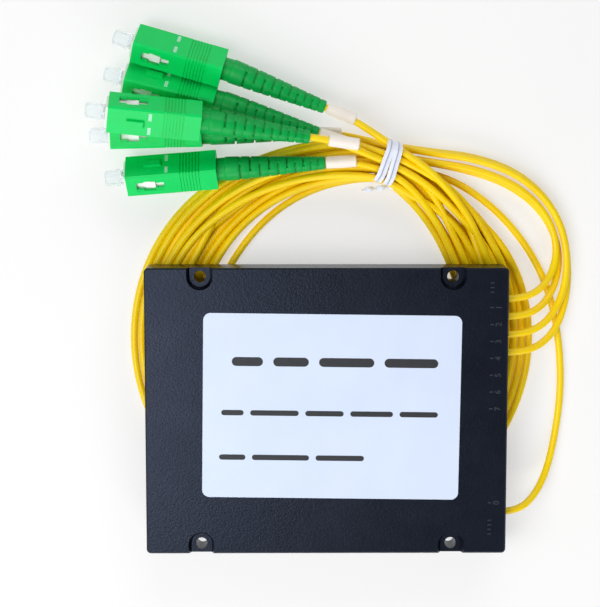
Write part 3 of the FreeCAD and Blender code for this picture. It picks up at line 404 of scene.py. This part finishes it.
# the same film where the wire shows through: a grey-blue line along the middle of the band
tie_wire = finish_of("twist tie wire under film", "#b9bfd8", "#98a0c0", patch_mm=1.0,
                     grain_mm=0.3, grain_depth_mm=0.004, roughness=0.35, IOR=1.5)
# zirconia ceramic, ground and polished: warm white with sharp highlights
zirconia = finish_of("ferrule zirconia ground", "#fbf9f3", "#f1eee6", patch_mm=1.0,
                     grain_mm=0.1, grain_depth_mm=0.001, roughness=0.18, IOR=2.1)
# stainless steel, drawn: light grey metal with a soft, even reflection
drawn_steel = finish_of("drawn stainless steel", "#c4c6c9", "#aeb1b5", patch_mm=2.0,
                        grain_mm=0.1, grain_depth_mm=0.002, roughness=0.30, Metallic=1.0)
# brass under thin nickel, turned and crimped: a pale gold that comes through at worn spots
nickel_brass = finish_of("crimp nickel over brass", "#c9b583", "#b59c62", patch_mm=1.5,
                         grain_mm=0.2, grain_depth_mm=0.002, roughness=0.32, Metallic=1.0)
# silica glass, sawn and polished: nearly white blocks with a hard gloss
chip_glass = finish_of("chip glass polished", "#eef4f8", "#e2ecf2", patch_mm=2.0, grain_mm=0.2,
                       grain_depth_mm=0.0005, roughness=0.12, IOR=1.46)
# acrylate, coated on the fibre: milky off-white
buffer_acrylate = finish_of("fibre buffer acrylate", "#f0ece0", "#e4dfd0", patch_mm=2.0,
                            grain_mm=0.2, grain_depth_mm=0.002, roughness=0.35, IOR=1.5)
# silicone rubber, cast in place: grey-white and dull
seal_silicone = finish_of("seal silicone", "#dededa", "#cfcfca", patch_mm=1.0, grain_mm=0.2,
                          grain_depth_mm=0.004, roughness=0.55, IOR=1.43)
# glass-filled nylon, moulded: black, with a faint grey bloom
rear_nylon = finish_of("rear body nylon black", "#1a1c20", "#141518", patch_mm=1.0,
                       grain_mm=0.2, grain_depth_mm=0.004, roughness=0.45, IOR=1.53)
# low-density polyethylene, moulded thin: clear but milky, faintly blue, and glossy
cap_polyethylene = finish_of("dust cap polyethylene", "#f2faff", "#e2f3fd", patch_mm=2.0,
                             grain_mm=0.3, grain_depth_mm=0.006, roughness=0.20, wear=0.05,
                             IOR=1.46, Transmission_Weight=0.9, Alpha=0.42)
# matt paper: a plain pale floor that glows just enough to keep shadows light
floor_paper = finish_of("backdrop paper", "#b6b6b6", "#b4b4b4", patch_mm=60.0, grain_mm=0.6,
                        grain_depth_mm=0.005, roughness=0.7, IOR=1.45,
                        Emission_Color=linear("#ffffff"), Emission_Strength=0.48)


# ---- making meshes --------------------------------------------------------------------
def placed(piece):
    """Puts a new piece in the scene."""
    bpy.context.scene.collection.objects.link(piece)
    return piece


def piece_from_bmesh(name, mesh, material, smooth_angle=35):
    """A scene object from a finished mesh, its sharp edges kept sharp."""
    data = bpy.data.meshes.new(name)
    mesh.to_mesh(data)
    mesh.free()
    data.materials.append(material)
    data.shade_smooth()
    data.set_sharp_from_angle(angle=math.radians(smooth_angle))
    return placed(bpy.data.objects.new(name, data))


def piece_from_rings(name, rings, material, smooth_angle=35):
    """A closed skin over rings of points given in millimetres, all with the same count."""
    mesh = bmesh.new()
    rows = [[mesh.verts.new(Vector(p) * MM) for p in ring] for ring in rings]
    count = len(rows[0])
    for low, high in zip(rows, rows[1:]):
        for i in range(count):
            j = (i + 1) % count
            mesh.faces.new((low[i], low[j], high[j], high[i]))
    mesh.faces.new(rows[0][::-1])
    mesh.faces.new(rows[-1])
    bmesh.ops.recalc_face_normals(mesh, faces=mesh.faces)
    return piece_from_bmesh(name, mesh, material, smooth_angle)


def circle(place, x, radius, count):
    """A ring of points round a place's own X axis."""
    turns = [2 * math.pi * i / count for i in range(count)]
    return [place @ Vector((x, radius * math.cos(t), radius * math.sin(t))) for t in turns]


def add_block(mesh, place, x, y, z):
    """Adds a block given by its ranges, in millimetres, in a place's own axes."""
    corners = [mesh.verts.new((place @ Vector((a, b, c))) * MM)
               for a in x for b in y for c in z]
    for face in ((0, 1, 3, 2), (4, 6, 7, 5), (0, 4, 5, 1), (2, 3, 7, 6), (0, 2, 6, 4),
                 (1, 5, 7, 3)):
        mesh.faces.new([corners[i] for i in face])


def piece_from_blocks(name, mesh, edge_mm, material):
    """A piece from a mesh of blocks, its edges taken off by edge_mm."""
    bmesh.ops.bevel(mesh, geom=mesh.edges[:], offset=edge_mm * MM, segments=2, affect="EDGES")
    bmesh.ops.recalc_face_normals(mesh, faces=mesh.faces)
    return piece_from_bmesh(name, mesh, material)


def finish_node(name, material, edge_mm=0.0):
    """Gives a solid its finish, and rounds its sharp edges by edge_mm."""
    node = nodes[name]
    node.data.materials.clear()
    node.data.materials.append(material)
    if edge_mm:
        edge = node.modifiers.new("moulded edge", "BEVEL")
        edge.width = edge_mm * MM
        edge.segments = 2
        edge.limit_method = "ANGLE"
        edge.angle_limit = math.radians(35)
    return node


def fitted(piece, body, slot, *stands_for):
    """Fixes a piece to its body and hides the nodes that it stands for; its slot is not used.
    """
    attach(piece, body)
    if stands_for:
        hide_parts(*stands_for)
    return piece


def turned(yaw, pitch, roll):
    """The rotation that a piece has after rolling, pitching and yawing, in degrees."""
    return (Matrix.Rotation(math.radians(yaw), 4, "Z")
            @ Matrix.Rotation(math.radians(pitch), 4, "Y")
            @ Matrix.Rotation(math.radians(roll), 4, "X"))


def plug_place(plug):
    """A plug's own frame: X forward out of its front, Z up through its key."""
    turn = turned(plug["heading"] + 180, plug["rise"], plug["roll"])
    return Matrix.Translation(plug["front"]) @ turn


def boot_place(plug):
    """The boot's own frame, with X towards the plug, at the boot's wide end."""
    start = plug_place(plug) @ Vector((BOOT_FRONT, 0, 0))
    turn = turned(plug["heading"] + plug["swing"] + 180, plug["rise"] + plug["dip"],
                  plug["roll"])
    return Matrix.Translation(start) @ turn


# ---- camera ---------------------------------------------------------------------------
def studio_camera():
    """The camera, looking steeply down on the cassette."""
    data = bpy.data.cameras.new("camera")
    data.sensor_width = 36.0
    data.lens = CAMERA_LENS
    data.clip_start = 0.01
    data.clip_end = 20.0
    ahead = Vector(CAMERA_AHEAD).normalized()
    across = ahead.cross(Vector(CAMERA_ABOVE).normalized()).normalized()
    above = across.cross(ahead)
    camera = placed(bpy.data.objects.new("camera", data))
    camera.matrix_world = (Matrix.Translation(CAMERA_PLACE)
                           @ Matrix((across, above, -ahead)).transposed().to_4x4())
    return camera


bpy.context.scene.camera = studio_camera()


# ---- pigtails -------------------------------------------------------------------------
def eased(value):
    """A smooth step from 0 to 1."""
    share = min(max(value, 0.0), 1.0)
    return share * share * (3 - 2 * share)


def dip_near(degrees, middle, run):
    """A bell from 0 to 1 and back, highest at the middle."""
    return math.exp(-((degrees - middle) / run) ** 2)


def strand_plan(cable, step):
    """Where a strand would like to lie: its radius and height at a step round the coil."""
    turn = min(step // STEPS, TURNS - 1)
    degrees = (step - turn * STEPS) * 360 / STEPS
    leaving = TIE_PASSES[cable][turn]
    arriving = TIE_PASSES[cable][turn + 1]
    loose = (LOOSE_RADII[cable][turn], LOWER_LEVEL if turn < TURNS - 1 else UPPER_LEVEL)
    drawn_in = (DRAWN_RADIUS + (leaving[0] - DRAWN_MIDDLE) * DRAWN_SPREAD,
                leaving[1] * DRAWN_HEIGHT_SHARE - DRAWN_DROP)
    if degrees <= DRAW_IN_RUN:
        share, start, stop = eased(degrees / DRAW_IN_RUN), leaving, drawn_in
    elif degrees <= 180:
        share, start, stop = eased((degrees - DRAW_IN_RUN) / SPREAD_RUN), drawn_in, loose
    else:
        share, start, stop = eased((degrees - 360 + GATHER_RUN) / GATHER_RUN), loose, arriving
    radius = start[0] + (stop[0] - start[0]) * share
    height = start[1] + (stop[1] - start[1]) * share
    inward = min(max((SHOULDER_INSIDE - loose[0]) / SHOULDER_RANGE, 0), 1)
    radius -= SHOULDER * inward * dip_near(degrees, SHOULDER_AT, SHOULDER_RUN)
    if (cable, turn) == STRAY_STRAND:
        radius -= STRAY_DEPTH * dip_near(degrees, STRAY_AT, STRAY_RUN)
    wander = WANDER * math.sin(math.radians(degrees) / 2) ** 2
    phase = WANDER_BY_CABLE * cable + WANDER_BY_TURN * turn + math.radians(degrees) * 2
    return radius + wander * math.sin(phase), height


def lead_spots(start):
    """Radius and height of the leads where they come in beside the coil, at one step."""
    degrees = math.degrees(TIE_TURN) + (start - STEPS) * 360 / STEPS
    spots = []
    for route in LEAD_ROUTES:
        away = [(x - COIL_X, y - COIL_Y, z) for x, y, z in route]
        turns = [math.degrees(math.atan2(y, x)) for x, y, z in away]
        radius = np.interp(degrees, turns, [math.hypot(x, y) for x, y, z in away])
        spots.append((radius, np.interp(degrees, turns, [z for x, y, z in away])))
    return np.array(spots)


def moves_off(spots, others, far=0.0):
    """The moves that bring each spot a strand's pitch away from the others."""
    gap = spots[:, None] - others[None, :]
    apart = np.hypot(gap[..., 0], gap[..., 1]) + far
    push = np.clip(CABLE_PITCH - apart, 0, None) / apart
    return (gap * push[..., None]).sum(axis=1)


def pressed_under(lie):
    """Heights of all strands, those that pass under the case kept clear of it."""
    angle = np.arange(lie.shape[1]) * 2 * math.pi / STEPS + TIE_TURN
    x = COIL_X + lie[:, :, 0] * np.cos(angle)
    y = COIL_Y + lie[:, :, 0] * np.sin(angle)
    under = (np.abs(x) < CASE_SHADOW_X) & (np.abs(y) < CASE_SHADOW_Y)
    ceiling = BOX_BOTTOM - CABLE / 2 - UNDER_CASE_GAP
    return np.where(under, np.minimum(lie[:, :, 1], ceiling), lie[:, :, 1])


def packed_strands():
    """Radius and height of every strand, eased apart so that no two share a place."""
    last = TURNS * STEPS
    cables = range(len(CABLE_NAMES))
    plan = np.array([[strand_plan(cable, step) for step in range(last + 1)]
                     for cable in cables])
    lie = plan.copy()
    held = [turn * STEPS for turn in range(TURNS + 1)]
    columns = [[(cable, step) for cable in cables for step in range(start, last + 1, STEPS)]
               for start in range(STEPS)]
    leads_beside = {start: lead_spots(start) for start in range(STEPS - LEAD_STEPS, STEPS)}
    for attempt in range(PACKING_ROUNDS):
        settling = attempt < PACKING_ROUNDS - CLEARING_ROUNDS
        middle = (lie[:, 2:] + lie[:, :-2]) / 2
        lie[:, 1:-1] += (SMOOTHING if settling else LAST_SMOOTHING) * (middle - lie[:, 1:-1])
        if settling:
            lie += PLAN_PULL * (plan - lie)
            lie[:, :, 1] -= SINKING
        for start, column in enumerate(columns):
            rows, steps = zip(*column)
            spots = lie[rows, steps]
            if start in leads_beside:
                spots = spots + moves_off(spots, leads_beside[start])
            not_itself = np.eye(len(column)) * 1000
            spots = spots + STRAND_PUSH * moves_off(spots, spots, not_itself)
            spots[:, 1] = np.clip(spots[:, 1], LOWER_LEVEL, None)
            lie[rows, steps] = spots
        lie[:, :, 1] = pressed_under(lie)
        lie[:, held] = plan[:, held]
    return lie


def turn_points(strand):
    """A strand's points round the coil, from its first pass of the tie to its last."""
    points = []
    for step, (radius, height) in enumerate(strand):
        angle = TIE_TURN + 2 * math.pi * step / STEPS
        points.append((COIL_X + radius * math.cos(angle), COIL_Y + radius * math.sin(angle),
                       height))
    return points


def spline_piece(name, points, diameter, material):
    """A round cable along one smooth spline, its points given in millimetres."""
    curve = bpy.data.curves.new(name, "CURVE")
    curve.dimensions = "3D"
    curve.bevel_depth = diameter * MM / 2
    curve.bevel_resolution = 5
    curve.resolution_u = 4
    curve.use_fill_caps = True
    spline = curve.splines.new("NURBS")
    spline.points.add(len(points) - 1)
    for control, point in zip(spline.points, points):
        control.co = (*(Vector(point) * MM), 1.0)
    spline.order_u = 3
    spline.use_endpoint_u = True
    curve.materials.append(material)
    return placed(bpy.data.objects.new(name, curve))


def tail_points(plug):
    """The last points of a pigtail: straight up to its boot and on inside it."""
    place = boot_place(plug)
    ends = [-BOOT_LENGTH - TAIL_STRAIGHT, -BOOT_LENGTH]
    ends += [inside - BOOT_LENGTH for inside in TAIL_IN_BOOT]
    return [tuple(place @ Vector((x, 0, 0))) for x in ends]


for cable_name, lead, strand, plug_number in zip(CABLE_NAMES, LEAD_ROUTES, packed_strands(),
                                                 PLUG_OF_CABLE):
    route = lead + turn_points(strand) + tail_points(PLUGS[plug_number - 1])
    pigtail = spline_piece("pigtail_" + cable_name, route, CABLE, jacket_pvc)
    fitted(pigtail, "root", "jacket_yellow", "lead_" + cable_name,
                           "tail_%d" % plug_number)
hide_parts("pigtail_coil")


# ---- marker sleeves -------------------------------------------------------------------
def sleeve_piece(number, plug, start):
    """A soft sleeve on a tail, close behind its boot, bent up where it meets the bench."""
    place = boot_place(plug) @ Matrix.Translation((-BOOT_LENGTH - start, 0, 0))
    outer, bore = MARKER_DIAMETER / 2, CABLE / 2 + MARKER_BORE_GAP
    lip, end = MARKER_LIP, -MARKER_LENGTH
    outline = [(-lip, bore), (0, bore + MARKER_MOUTH), (0, outer - lip), (-lip, outer),
               (end / 2, outer + MARKER_SWELL), (end + lip, outer), (end, outer - lip),
               (end, bore + MARKER_MOUTH), (end + lip, bore)]
    rings = [circle(place, x, radius, MARKER_AROUND) for x, radius in outline]
    for ring in rings:
        lift = max(BENCH + MARKER_LIFT - min(point.z for point in ring), 0)
        for point in ring:
            point.z += lift
    return piece_from_rings("sleeve_%d" % number, rings, sleeve_polyolefin)


# ---- boots ----------------------------------------------------------------------------
def boot_radius(distance):
    """The boot's outer radius at a distance behind its wide end."""
    if distance < BOOT_SHOULDER_LENGTH:
        share = distance / BOOT_SHOULDER_LENGTH
        return (BOOT_BASE + (BOOT_SHOULDER - BOOT_BASE) * share) / 2
    share = (distance - BOOT_SHOULDER_LENGTH) / (BOOT_LENGTH - BOOT_SHOULDER_LENGTH)
    return (BOOT_SHOULDER + (BOOT_END - BOOT_SHOULDER) * share) / 2


def boot_slots():
    """Where each slot starts and ends behind the wide end, narrower and closer to the tip."""
    slots = []
    reach, pitch, width = BOOT_SLOT_START, BOOT_SLOT_PITCH, BOOT_SLOT_WIDTH
    while reach + width < BOOT_LENGTH - BOOT_TIP_LAND:
        slots.append((reach, reach + width))
        reach += pitch
        pitch *= PITCH_SHRINK
        width *= WIDTH_SHRINK
    return slots


def boot_stations():
    """Distances behind the wide end, each with what the radius gains there, and in a slot
    the pair of sides that it cuts, 0 or 1."""
    stations = [(BOOT_SET_BACK + away, gain, None) for away, gain in BOOT_WIDE_END]
    stations += [(BOOT_SLOT_START * share, 0, None) for share in (0.45, 0.8)]
    for count, (low, high) in enumerate(boot_slots()):
        sides = count % 2
        stations += [(low - SLOT_EDGE, 0, None), (low, -SLOT_EDGE_DEPTH, None),
                     (low + SLOT_WALL, 0, sides), (high - SLOT_WALL, 0, sides),
                     (high, -SLOT_EDGE_DEPTH, None), (high + SLOT_EDGE, 0, None)]
    return stations + [(BOOT_LENGTH + away, gain, None) for away, gain in BOOT_TIP_END]


def boot_ring(place, distance, gain, sides):
    """One ring of the boot's skin, sunk to the core on two sides where a slot is."""
    radius = boot_radius(distance)
    core = min(max(BOOT_CORE / 2, radius * BOOT_CORE_SHARE), radius)
    ring = []
    for i in range(BOOT_AROUND):
        angle = 2 * math.pi * i / BOOT_AROUND
        here = radius + gain
        if sides is not None:
            openness = abs(math.sin(angle) if sides else math.cos(angle))
            here += (core - radius) * eased((openness - SLOT_OPENS) / SLOT_FLANK)
        ring.append(place @ Vector((-distance, here * math.cos(angle),
                                    here * math.sin(angle))))
    return ring


def boot_piece(number, plug):
    """The tapered strain relief with slots from alternate sides and a bore for the cable."""
    place, collar = boot_place(plug), plug_place(plug)
    rings = [circle(collar, x, radius, BOOT_AROUND) for x, radius in
             ((COLLAR_FRONT, COLLAR_FACE / 2), (COLLAR_FRONT - COLLAR_EDGE, COLLAR / 2),
              (BOOT_FRONT, COLLAR / 2))]
    rings += [boot_ring(place, *station) for station in boot_stations()]
    rings += [circle(place, inside - BOOT_LENGTH, CABLE / 2 + BOOT_BORE_GAP, BOOT_AROUND)
              for inside in BOOT_BORE]
    return piece_from_rings("boot_skin_%d" % number, rings, boot_elastomer, smooth_angle=40)


# ---- ferrule springs --------------------------------------------------------------------
def spring_piece(number, plug):
    """A helix of round wire behind the ferrule's flange, drawn at one length; the real spring
    squashes as the flange goes back.
    """
    place = plug_place(plug)
    wire, sides, steps = SPRING_WIRE / 2, 8, 24
    count = SPRING_TURNS * steps
    rings = []
    for i in range(count + 1):
        angle = 2 * math.pi * i / steps
        x = SPRING_REAR + wire + (SPRING_LENGTH - 2 * wire) * i / count
        ring = []
        for side in range(sides):
            turn = 2 * math.pi * side / sides
            radius = SPRING_RADIUS + wire * math.cos(turn)
            ring.append(place @ Vector((x + wire * math.sin(turn), radius * math.cos(angle),
                                        radius * math.sin(angle))))
        rings.append(ring)
    piece = piece_from_rings("spring_coil_%d" % number, rings, drawn_steel, smooth_angle=60)
    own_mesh(piece)
    return piece


# ---- dust caps ------------------------------------------------------------------------
def cap_piece(number, plug):
    """The clear cap: a sleeve in the frame's nose and a rounded grip in front of it."""
    rings = [circle(plug_place(plug), x, radius, CAP_AROUND) for x, radius in CAP_OUTLINE]
    return piece_from_rings("cap_skin_%d" % number, rings, cap_polyethylene)


# ---- small forms of the grips -----------------------------------------------------------
def window_webs(number, plug):
    """The corner webs that leave each side window of a grip cross-shaped."""
    mesh = bmesh.new()
    for side in (-1, 1):
        across = sorted((side * WEB_INSIDE, side * WEB_FACE))
        for up in (-1, 1):
            for span, half in WINDOW_ARMS:
                add_block(mesh, plug_place(plug), span, across,
                          sorted((up * half, up * (WINDOW_HALF + WEB_LAP))))
    return piece_from_blocks("window_webs_%d" % number, mesh, WEB_EDGE, grip_pbt)


def grip_marks(number, plug):
    """The pale ink that fills the two marks on each wide face of a grip."""
    mesh = bmesh.new()
    half = MARK_WIDTH / 2 + INK_LAP
    along = (-MARK_START - MARK_LENGTH - INK_LAP, -MARK_START + INK_LAP)
    for side in (-1, 1):
        middle = side * MARK_SPREAD
        for face in (-1, 1):
            add_block(mesh, plug_place(plug), along, (middle - half, middle + half),
                      sorted((face * (GRIP_HALF_HEIGHT - INK_DEPTH),
                              face * (GRIP_HALF_HEIGHT + INK_PROUD))))
    return piece_from_blocks("grip_mark_ink_%d" % number, mesh, INK_EDGE, mark_ink)


# ---- twist tie ------------------------------------------------------------------------
def bundle_outline(margin, corners=6):
    """The tied bundle's outline, its corners rounded, as (outwards, up) pairs."""
    half_width, half_height = BUNDLE_HALF_WIDTH + margin, BUNDLE_HEIGHT / 2 + margin
    round_off = BUNDLE_CORNER + margin
    outline = []
    for quarter, (side, up) in enumerate(((1, 1), (-1, 1), (-1, -1), (1, -1))):
        for i in range(corners + 1):
            angle = math.pi / 2 * (quarter + i / corners)
            outline.append((side * (half_width - round_off) + round_off * math.cos(angle),
                            up * (half_height - round_off) + round_off * math.sin(angle)))
    return outline


def tie_place():
    """The frame of the tie: X along the strands, Y outwards from the coil's centre."""
    middle = Vector((COIL_X + TIE_RADIUS * math.cos(TIE_TURN),
                     COIL_Y + TIE_RADIUS * math.sin(TIE_TURN),
                     BENCH + BUNDLE_LIFT + BUNDLE_HEIGHT / 2))
    return Matrix.Translation(middle) @ Matrix.Rotation(TIE_TURN - math.pi / 2, 4, "Z")


def bowed(x, y):
    """A point's place along the strands, moved by the tie's bow."""
    return x + TIE_BOW * (0.5 - (y / BUNDLE_HALF_WIDTH) ** 2)


def film_height(share):
    """How far the film stands out across its width, -1 to 1: a wire ridge and thin edges."""
    ridge = WIRE_RIDGE * math.exp(-(share / RIDGE_WIDTH) ** 2)
    return FILM_THICKNESS + ridge - EDGE_THINNING * share ** 2


def tie_wrap(name, along, skew, margin):
    """One wrap of flat film over its wire, round the bundle."""
    place = tie_place() @ Matrix.Rotation(math.radians(skew), 4, "Z")
    mesh = bmesh.new()
    rows = []
    for share in FILM_SHARES + FILM_SHARES[::-1]:
        under = len(rows) >= len(FILM_SHARES)
        height = margin if under else margin + film_height(share)
        x = along + share * TIE_BAND / 2
        rows.append([mesh.verts.new((place @ Vector((bowed(x, y), y, z))) * MM)
                     for y, z in bundle_outline(height)])
    count = len(rows[0])
    for number, (low, high) in enumerate(zip(rows, rows[1:] + rows[:1])):
        for i in range(count):
            j = (i + 1) % count
            face = mesh.faces.new((low[i], low[j], high[j], high[i]))
            face.material_index = int(number in WIRE_ROWS)
    bmesh.ops.recalc_face_normals(mesh, faces=mesh.faces)
    piece = piece_from_bmesh(name, mesh, tie_film)
    piece.data.materials.append(tie_wire)
    return piece


def tie_ends():
    """The twisted end of the tie, at the inner foot of the bundle."""
    steps = 48
    place = (tie_place() @ Matrix.Translation(TWIST_FOOT)
             @ Matrix.Rotation(TWIST_HEADING, 4, "Z"))
    rings = []
    for i in range(steps + 1):
        share = i / steps
        angle = TWIST_TURN * share
        droop = -TWIST_DROOP * share ** 2
        ring = []
        for across in TWIST_SHARES + TWIST_SHARES[::-1]:
            face = 1 if len(ring) < len(TWIST_SHARES) else -1
            y = across * TWIST_HALF_WIDTH
            ridge = TWIST_RIDGE * math.exp(-(across / TWIST_RIDGE_WIDTH) ** 2)
            z = (TWIST_FILM + ridge) * face
            ring.append(place @ Vector((-TWIST_LENGTH * share,
                                        y * math.cos(angle) - z * math.sin(angle),
                                        y * math.sin(angle) + z * math.cos(angle) + droop)))
        rings.append(ring)
    return piece_from_rings("tie_twist", rings, tie_film, smooth_angle=50)


tie_pieces = [tie_wrap(*wrap) for wrap in TIE_WRAPS] + [tie_ends()]
for tie_piece in tie_pieces:
    fitted(tie_piece, "root", "tie_white")
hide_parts("twist_tie")


# ---- the five pigtails with what is on them ---------------------------------------------
for number, (plug, start) in enumerate(zip(PLUGS, MARKER_STARTS), 1):
    for small_form in (window_webs(number, plug), grip_marks(number, plug)):
        fitted(small_form, "grip_%d" % number, "grip_green")
    on_cable = [finish_node("grip_housing_%d" % number, grip_pbt, GRIP_EDGE),
                finish_node("plug_frame_%d" % number, frame_pbt, FRAME_EDGE),
                finish_node("ferrule_%d" % number, zirconia),
                fitted(spring_piece(number, plug), "root", "spring_steel",
                       "spring_%d" % number),
                fitted(sleeve_piece(number, plug, start), "root", "sleeve_white",
                       "marker_sleeve_%d" % number),
                fitted(boot_piece(number, plug), "root", "boot_green", "boot_%d" % number),
                fitted(cap_piece(number, plug), "cap_%d" % number, "cap_clear",
                       "dust_cap_%d" % number),
                nodes["rear_bodies"], nodes["crimp_rings"]]
    cable = PLUG_OF_CABLE.index(number)
    if cable == 0:
        on_cable += tie_pieces


# ---- cassette -------------------------------------------------------------------------
for name, material, edge in (("base_tray", case_abs, 0.15), ("lid", case_abs, 0.15),
                             ("label", label_film, 0.0),
                             ("splitter_tube", drawn_steel, 0.1),
                             ("splitter_chip", chip_glass, 0.0),
                             ("fibre_arrays", chip_glass, 0.0),
                             ("tube_end_plugs", seal_silicone, 0.0),
                             ("input_fibre", buffer_acrylate, 0.0),
                             ("output_fibres", buffer_acrylate, 0.0),
                             ("cable_anchors", nickel_brass, 0.0),
                             ("rear_bodies", rear_nylon, 0.0),
                             ("crimp_rings", nickel_brass, 0.0)):
    finish_node(name, material, edge)


# ---- print and relief on the cassette ---------------------------------------------------
def rounded_bar(mesh, place, left, right, level, tall):
    """Adds one bar of print with round ends."""
    radius, steps = tall / 2, 8
    ring = []
    for x, turn in ((right - radius, -90), (left + radius, 90)):
        for i in range(steps + 1):
            angle = math.radians(turn + 180 * i / steps)
            ring.append((x + radius * math.cos(angle), level + radius * math.sin(angle)))
    mesh.faces.new([mesh.verts.new((place @ Vector((x, y, 0))) * MM) for x, y in ring])


def printed_rows():
    """Three rows of plain bars on the label, set as lines of print would be."""
    mesh = bmesh.new()
    place = (Matrix.Translation((LABEL_X, LABEL_Y, LABEL_TOP + PRINT_LIFT))
             @ Matrix.Rotation(math.radians(LABEL_TURN), 4, "Z"))
    for level, tall, bars in PRINT_ROWS:
        for left, right in bars:
            rounded_bar(mesh, place, left, right, level, tall)
    return piece_from_bmesh("label_print", mesh, label_ink)


def raised_figure(name, figure, level):
    """A generic numeral moulded proud of the lid, read from the cable side."""
    letters = bpy.data.curves.new(name, "FONT")
    letters.body = figure
    letters.size = NUMERAL_SIZE * MM
    letters.extrude = RELIEF / 2 * MM
    letters.bevel_depth = RELIEF_EDGE * MM
    letters.align_x = "CENTER"
    # painted highlight: the numeral takes the paler case colour in place of its glints
    letters.materials.append(case_relief_painted_highlight)
    numeral = placed(bpy.data.objects.new(name, letters))
    numeral.location = Vector((NUMERAL_X, level, LID_TOP)) * MM
    numeral.rotation_euler = (0, 0, math.radians(90))
    return numeral


def raised_ticks():
    """The short raised bars beside the numerals, and a few past each group."""
    levels = PORT_LEVELS + [INPUT_LEVEL]
    for first, (away, pitch, count) in ((PORT_LEVELS[0], OUTPUT_BARS),
                                        (INPUT_LEVEL, INPUT_BARS)):
        levels += [first + away + pitch * i for i in range(count)]
    mesh = bmesh.new()
    for level in levels:
        add_block(mesh, Matrix(), (TICK_X - TICK_LENGTH / 2, TICK_X + TICK_LENGTH / 2),
                  (level - TICK_WIDTH / 2, level + TICK_WIDTH / 2),
                  (LID_TOP - RELIEF_ROOT, LID_TOP + RELIEF))
    # painted highlight: the ticks take the paler case colour in place of their glints
    return piece_from_blocks("lid_ticks", mesh, TICK_EDGE, case_relief_painted_highlight)


fitted(printed_rows(), "root", "label_vinyl")
for count, port_level in enumerate(PORT_LEVELS, 1):
    fitted(raised_figure("port_numeral_%d" % count, str(count), port_level), "root",
           "case_abs")
fitted(raised_figure("port_numeral_input", "0", INPUT_LEVEL), "root", "case_abs")
fitted(raised_ticks(), "root", "case_abs")


# ---- floor and light ------------------------------------------------------------------
def floor_piece():
    """A wide, pale sheet under everything."""
    mesh = bmesh.new()
    bmesh.ops.create_grid(mesh, x_segments=2, y_segments=2, size=FLOOR_REACH)
    bmesh.ops.translate(mesh, verts=mesh.verts, vec=(0, 0, BENCH * MM - FLOOR_GAP))
    return piece_from_bmesh("floor", mesh, floor_paper)


def soft_light(name, place, size, watts):
    """A soft box that points at the middle of the part."""
    lamp = bpy.data.lights.new(name, "AREA")
    lamp.shape = "RECTANGLE"
    lamp.size, lamp.size_y = size
    lamp.energy = watts
    holder = placed(bpy.data.objects.new(name, lamp))
    holder.location = place
    holder.rotation_mode = "QUATERNION"
    holder.rotation_quaternion = (Vector(LIGHT_AIM) - Vector(place)).to_track_quat("-Z", "Y")


floor_piece()
for light in LIGHTS:
    soft_light(*light)
world = bpy.data.worlds.new("studio")
world.use_nodes = True
background = world.node_tree.nodes["Background"].inputs
background["Color"].default_value = linear("#ffffff")
background["Strength"].default_value = WORLD_STRENGTH
bpy.context.scene.world = world
bpy.context.scene.view_settings.view_transform = "Standard"
